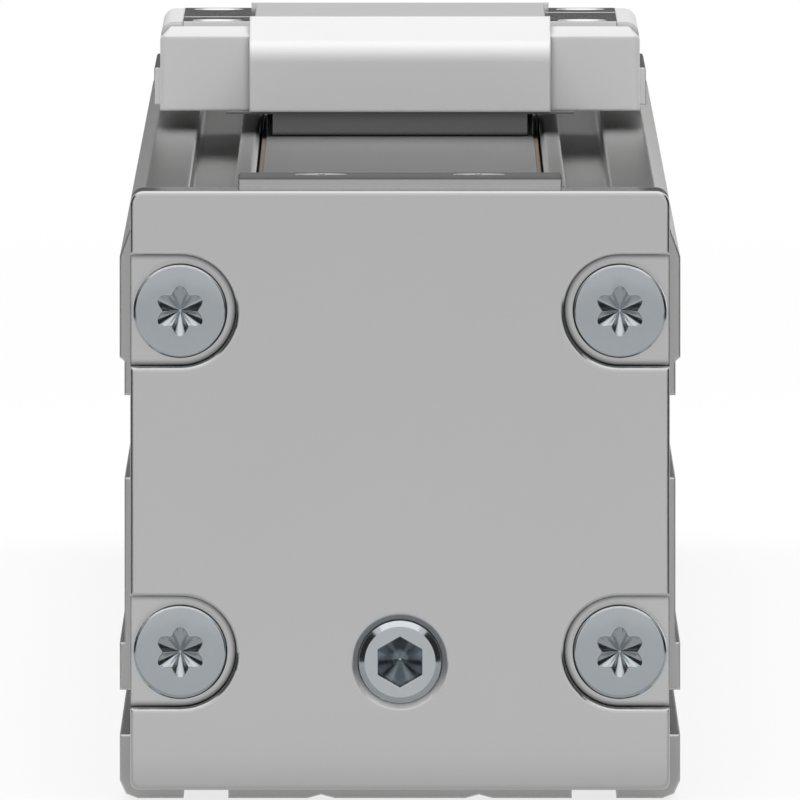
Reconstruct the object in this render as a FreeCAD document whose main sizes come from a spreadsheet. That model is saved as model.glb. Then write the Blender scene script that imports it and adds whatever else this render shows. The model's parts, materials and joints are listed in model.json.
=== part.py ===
import FreeCAD, Part

# Electric slide axis: a ball screw inside an extruded profile drives a slide on top of it.
# A thin steel strip closes the slit that the slide's neck runs in.
# Frame: +Y runs along the axis from the plain end to the drive end, +X is to the right seen from
# the plain end, +Z is up. The origin is below the middle of the whole axis, level with the
# underside of the profile. All sizes are in millimetres.

import os
from types import SimpleNamespace

import Sketcher

# Driving sizes, one named value each
SIZES = {
    # Travel
    "stroke": 400.0,
    "end_gap": 1.05,
    "slide_rest": 168.7,
    "running_gap": 0.4,
    "fit_gap": 0.05,
    # Extruded profile, outside
    "profile_width": 62.5,
    "profile_height": 68.2,
    "shelf_inset": 2.85,
    "shoulder_drop": 7.8,
    "waist_inset": 0.54,
    "waist_chamfer": 0.45,
    "waist_top_drop": 18.95,
    "waist_bottom_height": 17.4,
    "foot_bevel": 2.0,
    "foot_bevel_out": 0.7,
    "foot_bevel_up": 0.5,
    # Slots and grooves of the profile
    "slot_width": 5.0,
    "slot_lip": 2.0,
    "slot_room_width": 7.4,
    "slot_room_depth": 3.0,
    "side_slot_gap": 7.24,
    "under_slot_inset": 9.6,
    "side_groove_drop": 27.8,
    "side_groove_width": 9.2,
    "side_groove_depth": 4.5,
    "top_groove_inset": 10.25,
    "top_groove_width": 5.0,
    "top_groove_depth": 3.0,
    "groove_edge_round": 0.3,
    "groove_floor_round": 0.45,
    "mark_pitch": 17.6,
    "mark_width": 3.1,
    "mark_depth": 0.42,
    # Slit on top of the profile and the room inside it
    "lip_drop": 0.2,
    "lip_bevel": 0.45,
    "lip_width": 2.2,
    "recess_depth": 3.0,
    "slit_ledge_width": 4.0,
    "roof_thick": 8.0,
    "cavity_wall": 12.25,
    "cavity_floor": 8.0,
    "chamber_wall": 2.6,
    "chamber_width": 3.0,
    "chamber_floor": 23.0,
    "chamber_drop": 20.2,
    # End cap, drive block and their screws
    "cap_thick": 10.0,
    "cap_inset": 1.25,
    "cap_foot_gap": 1.5,
    "cap_top_round": 1.5,
    "cap_foot_round": 1.0,
    "cap_edge_round": 0.4,
    "screw_inset": 6.8,
    "screw_drop": 13.36,
    "screw_low_height": 16.84,
    "screw_shank": 6.0,
    "screw_head": 10.5,
    "screw_head_high": 3.3,
    "screw_head_round": 0.5,
    "screw_hole": 6.6,
    "screw_grip": 12.0,
    "recess_radius": 6.25,
    "recess_deep": 4.0,
    "port_height": 15.8,
    "port_mouth": 10.67,
    "plug_wide": 9.2,
    "plug_flat": 7.9,
    "plug_long": 6.5,
    "plug_hex": 4.9,
    "plug_hex_deep": 4.0,
    "drive_long": 32.0,
    "bolt_head": 10.0,
    "bolt_head_high": 6.0,
    "bolt_hex": 5.0,
    "motor_pitch": 38.0,
    "motor_thread": 5.0,
    "motor_thread_deep": 12.0,
    # Spindle and its bearings
    "spindle_wide": 12.0,
    "shaft_wide": 8.0,
    "shaft_collar": 9.0,
    "shaft_out": 22.0,
    "front_journal": 6.0,
    "front_bearing_outside": 19.0,
    "front_bearing_wide": 6.0,
    "front_ball": 3.2,
    "fixed_journal": 10.0,
    "fixed_bearing_outside": 30.0,
    "fixed_bearing_wide": 14.0,
    "fixed_ball": 5.2,
    "ball_count": 9,
    "bearing_wall": 6.0,
    "ring_gap": 1.4,
    "lock_nut_wide": 18.0,
    "lock_nut_long": 7.0,
    "pilot_rim": 6.0,
    "pilot_high": 2.5,
    "retainer_bore": 20.0,
    "retainer_screw": 3.0,
    "retainer_screw_head": 5.0,
    "bumper_wide": 28.0,
    "bumper_bore": 18.0,
    "bumper_long": 14.0,
    # Rail and runner
    "rail_width": 15.0,
    "rail_high": 12.5,
    "rail_waist": 11.2,
    "rail_foot_high": 3.2,
    "rail_taper": 2.0,
    "rail_waist_high": 2.2,
    "rail_bevel": 0.5,
    "rail_end_gap": 6.0,
    "rail_screw": 4.0,
    "rail_screw_head": 7.0,
    "rail_screw_count": 8,
    "rail_screw_end_gap": 30.0,
    "runner_end_gap": 2.0,
    "runner_foot_gap": 4.6,
    "runner_cap_long": 8.5,
    "runner_cap_inset": 0.4,
    "runner_play": 0.35,
    "runner_screw_end_gap": 6.5,
    "runner_screw_grip": 6.0,
    # Inner carriage and nut
    "carriage_gap": 2.0,
    "carriage_reach": 16.0,
    "carriage_bevel": 0.5,
    "nut_wall": 4.0,
    "nut_end_gap": 22.0,
    "nut_flange_rim": 2.5,
    "nut_flange_long": 5.0,
    "nut_flange_gap": 1.1,
    "nut_flange_cover": 1.7,
    "neck_end_gap": 7.25,
    "neck_screw": 3.0,
    "neck_screw_head": 5.5,
    "neck_screw_head_high": 2.4,
    "neck_screw_inset": 4.4,
    "neck_screw_end_gap": 4.5,
    "neck_screw_grip": 4.0,
    # Strip, magnets and clamps
    "strip_gap": 0.8,
    "strip_thick": 0.25,
    "strip_drop": 0.75,
    "strip_float": 0.35,
    "magnet_width": 3.4,
    "magnet_gap": 0.3,
    "clamp_overlap": 1.75,
    "clamp_long": 10.4,
    "clamp_top": 1.22,
    "clamp_screw": 3.0,
    "clamp_screw_head": 5.9,
    "clamp_screw_inset": 9.22,
    "clamp_screw_grip": 5.0,
    "anchor_deep": 8.0,
    # Slide
    "slide_lift": 2.44,
    "slide_body_long": 42.5,
    "slide_flange_inset": 2.58,
    "slide_flange_top": 6.75,
    "slide_flange_round": 0.3,
    "flange_ledge_width": 3.37,
    "pad_width": 8.4,
    "pad_top": 12.14,
    "pad_groove_edge": 14.3,
    "pad_groove_width": 1.6,
    "pad_groove_deep": 0.8,
    "slide_thread": 5.0,
    "slide_thread_mouth": 6.0,
    "slide_thread_floor": 1.2,
    "slide_thread_inset": 4.0,
    "slide_thread_end_gap": 4.0,
    "cover_seat_width": 1.0,
    "cover_top": 12.75,
    "cover_thick": 2.0,
    "cover_bevel": 0.15,
    "channel_floor": 4.0,
    "slide_cap_long": 9.0,
    "slide_cap_inset": 0.77,
    "slide_cap_foot": 2.1,
    "slide_cap_front_top": 10.72,
    "slide_cap_back_top": 11.58,
    "slide_arm_round": 1.5,
    "slide_arm_inset": 0.05,
    "slide_cap_round": 0.8,
    "nose_long": 4.3,
    "wing_width": 10.4,
    "wing_bevel": 1.2,
    "nose_front_top": 9.9,
    "nose_round": 2.4,
    "cap_wall": 3.0,
    "guide_gap": 1.1,
    "guide_long": 6.0,
    "guide_inset": 0.5,
    "guide_strip_gap": 0.1,
    "guide_flange_width": 5.4,
    "guide_flange_thick": 0.25,
}


class Size:
    """A length that knows its number and the expression over the sheet that gives it."""

    def __init__(self, number, text=None):
        self.number = float(number)
        self.text = text if text is not None else repr(self.number)

    @staticmethod
    def of(other):
        return other if isinstance(other, Size) else Size(other)

    def _join(self, sign, other, number):
        return Size(number, f"({self.text} {sign} {other.text})")

    def __add__(self, other):
        other = Size.of(other)
        return self._join("+", other, self.number + other.number)

    def __sub__(self, other):
        other = Size.of(other)
        return self._join("-", other, self.number - other.number)

    def __mul__(self, other):
        other = Size.of(other)
        return self._join("*", other, self.number * other.number)

    def __truediv__(self, other):
        other = Size.of(other)
        return self._join("/", other, self.number / other.number)

    def __radd__(self, other):
        return Size.of(other) + self

    def __rsub__(self, other):
        return Size.of(other) - self

    def __rmul__(self, other):
        return Size.of(other) * self

    def __neg__(self):
        return Size(-self.number, f"(-{self.text})")

    def __float__(self):
        return self.number


doc = FreeCAD.newDocument("slide_axis")
sheet = doc.addObject("Spreadsheet::Sheet", "Sizes")
for row, (name, number) in enumerate(SIZES.items(), 1):
    sheet.set(f"A{row}", name)
    sheet.set(f"B{row}", str(number))
    sheet.setAlias(f"B{row}", name)
doc.recompute()
dim = SimpleNamespace(**{name: Size(number, f"Sizes.{name}") for name, number in SIZES.items()})

# Places worked out from the driving sizes
SLIDE_LONG = dim.slide_body_long + 2 * dim.slide_cap_long
PROFILE_LONG = dim.stroke + SLIDE_LONG + 2 * (dim.nose_long + dim.clamp_long + dim.end_gap)
TOTAL_LONG = dim.cap_thick + PROFILE_LONG + dim.drive_long + dim.shaft_out
FRONT_Y = -TOTAL_LONG / 2
PROFILE_Y = FRONT_Y + dim.cap_thick
PROFILE_END_Y = PROFILE_Y + PROFILE_LONG
DRIVE_BACK_Y = PROFILE_END_Y + dim.drive_long
SLIDE_Y = FRONT_Y + dim.slide_rest + SLIDE_LONG / 2
SHELF = dim.profile_height
HALF_WIDE = dim.profile_width / 2
CAP_WIDTH = dim.profile_width - 2 * dim.cap_inset
SCREW_PITCH = dim.profile_width - 2 * dim.screw_inset
SCREW_RISE = SHELF - dim.screw_drop - dim.screw_low_height
CAVITY_WIDTH = dim.profile_width - 2 * dim.cavity_wall
GROOVE_IN = HALF_WIDE - dim.top_groove_inset - dim.top_groove_width / 2
RECESS_WIDTH = 2 * (GROOVE_IN - dim.lip_width)
SLIT_WIDTH = RECESS_WIDTH - 2 * dim.slit_ledge_width
STRIP_WIDTH = RECESS_WIDTH - 2 * dim.strip_gap
CLAMP_WIDTH = RECESS_WIDTH + 2 * dim.clamp_overlap
CLAMP_SCREW_PITCH = CLAMP_WIDTH - 2 * dim.clamp_screw_inset
STRIP_TOP = SHELF - dim.strip_drop
STRIP_UNDER = STRIP_TOP - dim.strip_thick
RECESS_FLOOR = SHELF - dim.recess_depth
ROOF = SHELF - dim.roof_thick
CARRIAGE_TOP = ROOF - dim.running_gap
CARRIAGE_WIDTH = CAVITY_WIDTH - 2 * dim.carriage_gap
NUT_WIDE = dim.spindle_wide + 2 * dim.nut_wall
NUT_FLANGE = NUT_WIDE + 2 * dim.nut_flange_rim
SPINDLE = CARRIAGE_TOP - dim.nut_flange_cover - NUT_FLANGE / 2
RUNNER_TOP = SPINDLE - NUT_FLANGE / 2 - dim.nut_flange_gap
RUNNER_HIGH = RUNNER_TOP - dim.cavity_floor
NECK_WIDTH = SLIT_WIDTH - 2 * dim.running_gap
NECK_LONG = dim.slide_body_long - 2 * dim.neck_end_gap
CARRIAGE_LONG = NECK_LONG + 2 * dim.carriage_reach
RUNNER_LONG = CARRIAGE_LONG - 2 * (dim.runner_cap_long + dim.runner_end_gap)
NUT_LONG = CARRIAGE_LONG - dim.nut_end_gap
FLANGE_WIDTH = dim.profile_width - 2 * dim.slide_flange_inset
PADS_WIDTH = FLANGE_WIDTH - 2 * dim.flange_ledge_width
COVER_WIDTH = PADS_WIDTH - 2 * dim.pad_width
CHANNEL_WIDTH = COVER_WIDTH - 2 * dim.cover_seat_width
SLIDE_CAP_WIDTH = FLANGE_WIDTH - 2 * dim.slide_cap_inset
NOSE_WIDTH = SLIDE_CAP_WIDTH - 2 * dim.wing_width
GUIDE_WIDTH = CHANNEL_WIDTH - 2 * dim.guide_gap
NECK_SCREW_PITCH = NECK_WIDTH - 2 * dim.neck_screw_inset
NECK_SCREW_ROW = NECK_LONG - 2 * dim.neck_screw_end_gap
RUNNER_SCREW_PITCH = (CARRIAGE_WIDTH + NUT_WIDE) / 2
RUNNER_SCREW_ROW = RUNNER_LONG - 2 * dim.runner_screw_end_gap
THREAD_PITCH = PADS_WIDTH - 2 * dim.slide_thread_inset
THREAD_ROW = dim.slide_body_long - 2 * dim.slide_thread_end_gap
NOSE_Y = SLIDE_LONG / 2 + dim.nose_long
CHANNEL_FLOOR = SHELF + dim.channel_floor
STRIP_RISE = CHANNEL_FLOOR + dim.strip_float - STRIP_UNDER
ZERO = Size(0)

sub_parts = []


def origin_item(body, role):
    """The plane or axis of a body's own origin that plays the given role."""
    return next(item for item in body.Origin.OriginFeatures if item.Role == role)


def new_body(label, y=ZERO, x=ZERO, z=ZERO, turn=0):
    """A named piece whose own origin lies at (x, y, z), turned about +Z by some degrees."""
    body = doc.addObject("PartDesign::Body", label)
    body.Label = label
    body.AllowCompound = True
    body.Placement.Rotation = FreeCAD.Rotation(FreeCAD.Vector(0, 0, 1), turn)
    for side, place in (("x", x), ("y", y), ("z", z)):
        body.setExpression(f"Placement.Base.{side}", place.text)
    sub_parts.append(body)
    return body


def new_sketch(body, role, offset=ZERO):
    """A sketch on one of the body's origin planes, moved off it by offset."""
    sketch = body.newObject("Sketcher::SketchObject", f"{body.Label}_sketch")
    sketch.AttachmentSupport = [(origin_item(body, role), "")]
    sketch.MapMode = "FlatFace"
    sketch.setExpression("AttachmentOffset.Base.z", offset.text)
    return sketch


def hold(sketch, kind, geometry, point, size):
    """Hold one point of a sketch at a distance from its origin."""
    rule = sketch.addConstraint(Sketcher.Constraint(kind, -1, 1, geometry, point, float(size)))
    sketch.setExpression(f"Constraints[{rule}]", size.text)


def draw_outline(sketch, points):
    """A closed run of straight lines through points, each corner held by two distances."""
    points = [(Size.of(x), Size.of(y)) for x, y in points]
    spots = [FreeCAD.Vector(float(x), float(y), 0) for x, y in points]
    first = sketch.GeometryCount
    for here, there in zip(spots, spots[1:] + spots[:1]):
        sketch.addGeometry(Part.LineSegment(here, there), False)
    for count, (x, y) in enumerate(points):
        before = first + (count - 1) % len(points)
        sketch.addConstraint(Sketcher.Constraint("Coincident", before, 2, first + count, 1))
        hold(sketch, "DistanceX", first + count, 1, x)
        hold(sketch, "DistanceY", first + count, 1, y)


def draw_mirrored(sketch, points):
    """The same outline twice, on the right and mirrored on the left."""
    draw_outline(sketch, points)
    draw_outline(sketch, [(-x, y) for x, y in reversed(points)])


def draw_circle(sketch, x, y, radius):
    """A circle held by its centre and radius."""
    middle = FreeCAD.Vector(float(x), float(y), 0)
    circle = sketch.addGeometry(Part.Circle(middle, FreeCAD.Vector(0, 0, 1), float(radius)), False)
    hold(sketch, "DistanceX", circle, 3, x)
    hold(sketch, "DistanceY", circle, 3, y)
    rule = sketch.addConstraint(Sketcher.Constraint("Radius", circle, float(radius)))
    sketch.setExpression(f"Constraints[{rule}]", radius.text)


def symmetric(half):
    """A whole outline from its right half, given from bottom to top."""
    return half + [(-x, y) for x, y in reversed(half)]


def rectangle(left, right, low, high):
    """The corners of an upright rectangle."""
    return [(left, low), (right, low), (right, high), (left, high)]


def pad(sketch, length, against_normal=True, both_ways=False):
    """Add the sketched section to its body over a length."""
    body = sketch.getParentGeoFeatureGroup()
    feature = body.newObject("PartDesign::Pad", f"{body.Label}_pad")
    feature.Profile = sketch
    feature.setExpression("Length", length.text)
    feature.SideType = "Symmetric" if both_ways else "One side"
    feature.Reversed = against_normal
    doc.recompute()
    return feature


def pocket(sketch, length, against_normal=True, both_ways=False):
    """Cut the sketched section out of its body over a length."""
    body = sketch.getParentGeoFeatureGroup()
    before = body.Shape.Volume
    feature = body.newObject("PartDesign::Pocket", f"{body.Label}_pocket")
    feature.Profile = sketch
    feature.setExpression("Length", length.text)
    feature.SideType = "Symmetric" if both_ways else "One side"
    feature.Reversed = not against_normal
    doc.recompute()
    if not feature.Shape.Volume < before - 0.01:
        raise ValueError(f"{body.Label}: a pocket cuts nothing")
    return feature


def turned(label, points, y=ZERO, x=ZERO, z=ZERO, upright=False):
    """A turned piece: half its section, as (radius, place along its axis), about +Y or about +Z."""
    body = new_body(label, y, x, z)
    sketch = new_sketch(body, "XZ_Plane" if upright else "XY_Plane")
    draw_outline(sketch, points)
    feature = body.newObject("PartDesign::Revolution", f"{label}_turning")
    feature.Profile = sketch
    feature.ReferenceAxis = (sketch, ["V_Axis"])
    feature.Angle = 360
    doc.recompute()
    return body


def hexagon(across_flats, x=ZERO, y=ZERO):
    """The corners of a hexagon with two corners up and down."""
    half = across_flats / 2
    reach = half * (2 / 3 ** 0.5)
    return [(x, y - reach), (x + half, y - reach / 2), (x + half, y + reach / 2),
            (x, y + reach), (x - half, y + reach / 2), (x - half, y - reach / 2)]


def repeat(body, role, pitch, count=Size(2)):
    """Repeat a whole piece along one of its own axes, as separate solids."""
    pattern = body.newObject("PartDesign::LinearPattern", f"{body.Label}_row")
    pattern.TransformMode = "Whole shape"
    pattern.Direction = (origin_item(body, role), [""])
    pattern.Mode = "Spacing"
    pattern.setExpression("Occurrences", count.text)
    pattern.setExpression("Offset", pitch.text)
    body.Tip = pattern
    doc.recompute()


def ring_of(body, count, angle=360):
    """Repeat a whole piece around its own Y axis, as separate solids."""
    pattern = body.newObject("PartDesign::PolarPattern", f"{body.Label}_ring")
    pattern.TransformMode = "Whole shape"
    pattern.Axis = (origin_item(body, "Y_Axis"), [""])
    pattern.Angle = angle
    pattern.setExpression("Occurrences", count.text)
    body.Tip = pattern


def dress(body, kind, size, pick):
    """Round or bevel the edges of a body that pick accepts.

    pick gets the middle of an edge, in the body's own frame, and its direction.
    """
    doc.recompute()
    base = body.Tip
    names = []
    for number, edge in enumerate(base.Shape.Edges, 1):
        ends = [edge.valueAt(edge.FirstParameter), edge.valueAt(edge.LastParameter)]
        middle = edge.valueAt((edge.FirstParameter + edge.LastParameter) / 2)
        if pick(middle, ends[1] - ends[0]):
            names.append(f"Edge{number}")
    if not names:
        raise ValueError(f"{body.Label}: no edge to {kind}")
    feature = body.newObject(f"PartDesign::{kind}", f"{body.Label}_{kind.lower()}")
    feature.Base = (base, names)
    feature.setExpression("Radius" if kind == "Fillet" else "Size", size.text)
    doc.recompute()
    return feature


def near(number, size):
    """Whether a coordinate lies on a size."""
    return abs(number - float(size)) < 1e-4


def along(direction, side):
    """Whether an edge runs along one of the body's axes."""
    return abs(abs(getattr(direction, side)) - direction.Length) < 1e-6 < direction.Length


# How far a cut runs past the face it starts from
PAST = Size(1)
RAIL_LONG = PROFILE_LONG - 2 * dim.rail_end_gap
RAIL_SCREW_PITCH = (RAIL_LONG - 2 * dim.rail_screw_end_gap) / (dim.rail_screw_count - 1)
RAIL_SCREW_Y = dim.rail_end_gap + dim.rail_screw_end_gap
RAIL_SCREW_DEEP = dim.cavity_floor - dim.slot_lip
SCREW_SPOTS = [(side * SCREW_PITCH / 2, dim.screw_low_height + row * SCREW_RISE)
               for side in (-1, 1) for row in (0, 1)]


def t_slot(place):
    """The outline of a T-slot; place turns (across, depth from the face) into sketch places."""
    mouth = dim.slot_width / 2
    room = dim.slot_room_width / 2
    back = dim.slot_lip + dim.slot_room_depth
    half = [(mouth, -PAST), (mouth, dim.slot_lip), (room, dim.slot_lip), (room, back)]
    return [place(across, deep) for across, deep in symmetric(half)]


def repeat_cut(body, feature, count, pitch):
    """Repeat one cut of a body along its length."""
    pattern = body.newObject("PartDesign::LinearPattern", f"{body.Label}_holes")
    pattern.Originals = [feature]
    pattern.Direction = (origin_item(body, "Y_Axis"), [""])
    pattern.Mode = "Spacing"
    pattern.setExpression("Occurrences", count.text)
    pattern.setExpression("Offset", pitch.text)
    body.Tip = pattern
    doc.recompute()


def make_profile():
    """The extrusion: outer section, then the room inside with its slit, then slots and bores."""
    body = new_body("profile", PROFILE_Y)
    waist = HALF_WIDE - dim.waist_inset
    sketch = new_sketch(body, "XZ_Plane")
    draw_outline(sketch, symmetric([
        (HALF_WIDE - dim.foot_bevel, ZERO),
        (HALF_WIDE - dim.foot_bevel_out, dim.foot_bevel_up),
        (HALF_WIDE, dim.foot_bevel),
        (HALF_WIDE, dim.waist_bottom_height),
        (waist, dim.waist_bottom_height),
        (waist, SHELF - dim.waist_top_drop - dim.waist_chamfer),
        (HALF_WIDE, SHELF - dim.waist_top_drop),
        (HALF_WIDE, SHELF - dim.shoulder_drop),
        (HALF_WIDE - dim.shelf_inset, SHELF),
    ]))
    pad(sketch, PROFILE_LONG)

    groove_out = GROOVE_IN + dim.top_groove_width
    lip = SHELF - dim.lip_drop
    sketch = new_sketch(body, "XZ_Plane")
    draw_outline(sketch, symmetric([
        (CAVITY_WIDTH / 2, dim.cavity_floor),
        (CAVITY_WIDTH / 2, ROOF),
        (SLIT_WIDTH / 2, ROOF),
        (SLIT_WIDTH / 2, RECESS_FLOOR),
        (RECESS_WIDTH / 2, RECESS_FLOOR),
        (RECESS_WIDTH / 2, lip - dim.lip_bevel),
        (RECESS_WIDTH / 2 + dim.lip_bevel, lip),
        (GROOVE_IN, lip),
        (GROOVE_IN, SHELF - dim.top_groove_depth),
        (groove_out, SHELF - dim.top_groove_depth),
        (groove_out, SHELF + PAST),
    ]))
    pocket(sketch, PROFILE_LONG)
    sides = (GROOVE_IN, groove_out)
    dress(body, "Fillet", dim.groove_floor_round,
          lambda at, way: along(way, "y") and near(at.z, SHELF - dim.top_groove_depth)
          and any(near(abs(at.x), side) for side in sides))
    dress(body, "Fillet", dim.groove_edge_round,
          lambda at, way: along(way, "y") and at.z > float(SHELF - dim.top_groove_depth / 2)
          and any(near(abs(at.x), side) for side in sides))

    sketch = new_sketch(body, "XZ_Plane")
    side_slot = dim.screw_low_height - dim.side_slot_gap
    draw_mirrored(sketch, t_slot(lambda across, deep: (HALF_WIDE - deep, side_slot + across)))
    draw_mirrored(sketch, t_slot(lambda across, deep: (HALF_WIDE - dim.under_slot_inset + across, deep)))
    low = SHELF - dim.side_groove_drop - dim.side_groove_width / 2
    draw_mirrored(sketch, rectangle(waist - dim.side_groove_depth, HALF_WIDE + PAST,
                                    low, low + dim.side_groove_width))
    chamber = CAVITY_WIDTH / 2 + dim.chamber_wall
    draw_mirrored(sketch, rectangle(chamber, chamber + dim.chamber_width,
                                    dim.chamber_floor, SHELF - dim.chamber_drop))
    mark = dim.mark_pitch / 2
    draw_mirrored(sketch, [
        (mark - dim.mark_width / 2, -PAST), (mark + dim.mark_width / 2, -PAST),
        (mark + dim.mark_width / 2, ZERO), (mark, dim.mark_depth), (mark - dim.mark_width / 2, ZERO),
    ])
    for x, z in SCREW_SPOTS:
        draw_circle(sketch, x, z, dim.screw_shank / 2 + dim.fit_gap)
    pocket(sketch, PROFILE_LONG)

    sketch = new_sketch(body, "XY_Plane", dim.cavity_floor)
    draw_circle(sketch, ZERO, RAIL_SCREW_Y, dim.rail_screw / 2 + dim.fit_gap)
    bore = pocket(sketch, RAIL_SCREW_DEEP)
    repeat_cut(body, bore, dim.rail_screw_count, RAIL_SCREW_PITCH)


def end_block(label, y, length):
    """A block with the outline of the axis's ends and rounded corners along its length."""
    body = new_body(label, y)
    half = CAP_WIDTH / 2
    sketch = new_sketch(body, "XZ_Plane")
    draw_outline(sketch, rectangle(-half, half, dim.cap_foot_gap, SHELF))
    pad(sketch, length)
    dress(body, "Fillet", dim.cap_top_round, lambda at, way: along(way, "y") and near(at.z, SHELF))
    dress(body, "Fillet", dim.cap_foot_round,
          lambda at, way: along(way, "y") and near(at.z, dim.cap_foot_gap))
    return body


def bore_from_back(body, length, spots, radius, deep):
    """Round holes cut from the back face of a block of the given length towards its front."""
    sketch = new_sketch(body, "XZ_Plane", -length)
    for x, z in spots:
        draw_circle(sketch, x, z, radius)
    pocket(sketch, deep, against_normal=False)


def make_front_end_cap():
    """The plain end: screw recesses open to the sides, a threaded port, a bearing seat behind."""
    body = end_block("front_end_cap", FRONT_Y, dim.cap_thick)
    sketch = new_sketch(body, "XZ_Plane")
    for x, z in SCREW_SPOTS:
        draw_circle(sketch, x, z, dim.recess_radius)
    pocket(sketch, dim.recess_deep)
    sketch = new_sketch(body, "XZ_Plane")
    for row in (0, 1):
        z = dim.screw_low_height + row * SCREW_RISE
        draw_mirrored(sketch, rectangle(SCREW_PITCH / 2, CAP_WIDTH / 2 + PAST,
                                        z - dim.recess_radius, z + dim.recess_radius))
    pocket(sketch, dim.recess_deep)
    dress(body, "Fillet", dim.cap_edge_round, lambda at, way: near(at.y, ZERO))

    sketch = new_sketch(body, "XZ_Plane")
    for x, z in SCREW_SPOTS:
        draw_circle(sketch, x, z, dim.screw_hole / 2)
    port = dim.plug_wide / 2 + dim.fit_gap
    draw_circle(sketch, ZERO, dim.port_height, port)
    pocket(sketch, dim.cap_thick)
    dress(body, "Chamfer", dim.port_mouth / 2 - port,
          lambda at, way: near(at.y, ZERO) and near(abs(at.z - float(dim.port_height)) + abs(at.x), port))

    axis = [(ZERO, SPINDLE)]
    seat = dim.front_bearing_wide + dim.fit_gap
    bore_from_back(body, dim.cap_thick, axis, dim.front_bearing_outside / 2 + dim.fit_gap, seat)
    bore_from_back(body, dim.cap_thick, axis, (dim.front_journal + dim.front_bearing_outside) / 4,
                   seat + dim.running_gap)


def screw(label, head, head_high, shank, length, way=1, y=ZERO, x=ZERO, z=ZERO, upright=False):
    """A cylinder-head screw whose head rests at its own origin; its shank runs up or down its axis."""
    return turned(label, [
        (ZERO, -way * head_high), (head / 2, -way * head_high), (head / 2, ZERO),
        (shank / 2, ZERO), (shank / 2, way * length), (ZERO, way * length),
    ], y, x, z, upright)


def make_front_cap_screws():
    """Four button-head screws through the end cap into the profile."""
    body = screw("front_cap_screws", dim.screw_head, dim.screw_head_high, dim.screw_shank,
                 dim.cap_thick - dim.recess_deep + dim.screw_grip, 1,
                 FRONT_Y + dim.recess_deep, -SCREW_PITCH / 2, dim.screw_low_height)
    dress(body, "Fillet", dim.screw_head_round, lambda at, way: near(at.y, -dim.screw_head_high))
    repeat(body, "X_Axis", SCREW_PITCH)
    repeat(body, "Z_Axis", SCREW_RISE)


def make_vent_plug():
    """The screw plug in the port, with a hexagon socket."""
    wide = dim.plug_wide / 2
    flat = dim.plug_flat / 2
    body = turned("vent_plug", [
        (ZERO, ZERO), (flat, ZERO), (wide, wide - flat), (wide, dim.plug_long), (ZERO, dim.plug_long),
    ], FRONT_Y + dim.cap_edge_round, z=dim.port_height)
    sketch = new_sketch(body, "XZ_Plane")
    draw_outline(sketch, hexagon(dim.plug_hex))
    pocket(sketch, dim.plug_hex_deep)


PILOT_WIDE = dim.fixed_bearing_outside + 2 * dim.pilot_rim
RETAINER_SCREW_PITCH = (PILOT_WIDE - dim.pilot_rim) / 2 ** 0.5
BEARING_Y = PROFILE_END_Y + dim.bearing_wall
RETAINER_Y = BEARING_Y + dim.fixed_bearing_wide
MOTOR_SPOTS = [(across * dim.motor_pitch / 2, SPINDLE + up * dim.motor_pitch / 2)
               for across in (-1, 1) for up in (-1, 1)]
NECK_SPOTS = [(across * NECK_SCREW_PITCH / 2, way * NECK_SCREW_ROW / 2)
              for across in (-1, 1) for way in (-1, 1)]
RUNNER_SPOTS = [(across * RUNNER_SCREW_PITCH / 2, way * RUNNER_SCREW_ROW / 2)
                for across in (-1, 1) for way in (-1, 1)]
THREAD_SPOTS = [(across * THREAD_PITCH / 2, way * THREAD_ROW / 2)
                for across in (-1, 1) for way in (-1, 1)]
RETAINER_SPOTS = [(across * RETAINER_SCREW_PITCH / 2, up * RETAINER_SCREW_PITCH / 2)
                  for across in (-1, 1) for up in (-1, 1)]


def make_drive_block():
    """The drive end: seat of the fixed bearing, bolt holes, motor threads on the back face."""
    body = end_block("drive_block", PROFILE_END_Y, dim.drive_long)
    axis = [(ZERO, SPINDLE)]
    bore_from_back(body, dim.drive_long, axis, dim.fixed_bearing_outside / 2 + dim.fit_gap,
                   dim.drive_long - dim.bearing_wall)
    bore_from_back(body, dim.drive_long, axis, (dim.fixed_journal + dim.fixed_bearing_outside) / 4,
                   dim.drive_long)
    bore_from_back(body, dim.drive_long, SCREW_SPOTS, dim.screw_hole / 2, dim.drive_long)
    bore_from_back(body, dim.drive_long, SCREW_SPOTS, dim.bolt_head / 2 + dim.running_gap,
                   dim.bolt_head_high + dim.running_gap)
    bore_from_back(body, dim.drive_long, MOTOR_SPOTS, dim.motor_thread / 2, dim.motor_thread_deep)
    dress(body, "Fillet", dim.cap_edge_round,
          lambda at, way: near(at.y, dim.drive_long)
          and not along(way, "y") and way.Length > float(CAP_WIDTH) / 2)
    spots = [(x, z + SPINDLE) for x, z in RETAINER_SPOTS]
    bore_from_back(body, dim.drive_long, spots, dim.retainer_screw / 2 + dim.fit_gap, dim.motor_thread_deep)


def make_drive_block_screws():
    """Four socket-head bolts through the drive block into the profile, pointing to the plain end."""
    seat = dim.bolt_head_high + dim.running_gap
    body = screw("drive_block_screws", dim.bolt_head, dim.bolt_head_high, dim.screw_shank,
                 dim.drive_long - seat + dim.screw_grip, -1,
                 DRIVE_BACK_Y - seat, -SCREW_PITCH / 2, dim.screw_low_height)
    sketch = new_sketch(body, "XZ_Plane", -dim.bolt_head_high)
    draw_outline(sketch, hexagon(dim.bolt_hex))
    pocket(sketch, dim.bolt_head_high / 2, against_normal=False)
    repeat(body, "X_Axis", SCREW_PITCH)
    repeat(body, "Z_Axis", SCREW_RISE)


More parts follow.
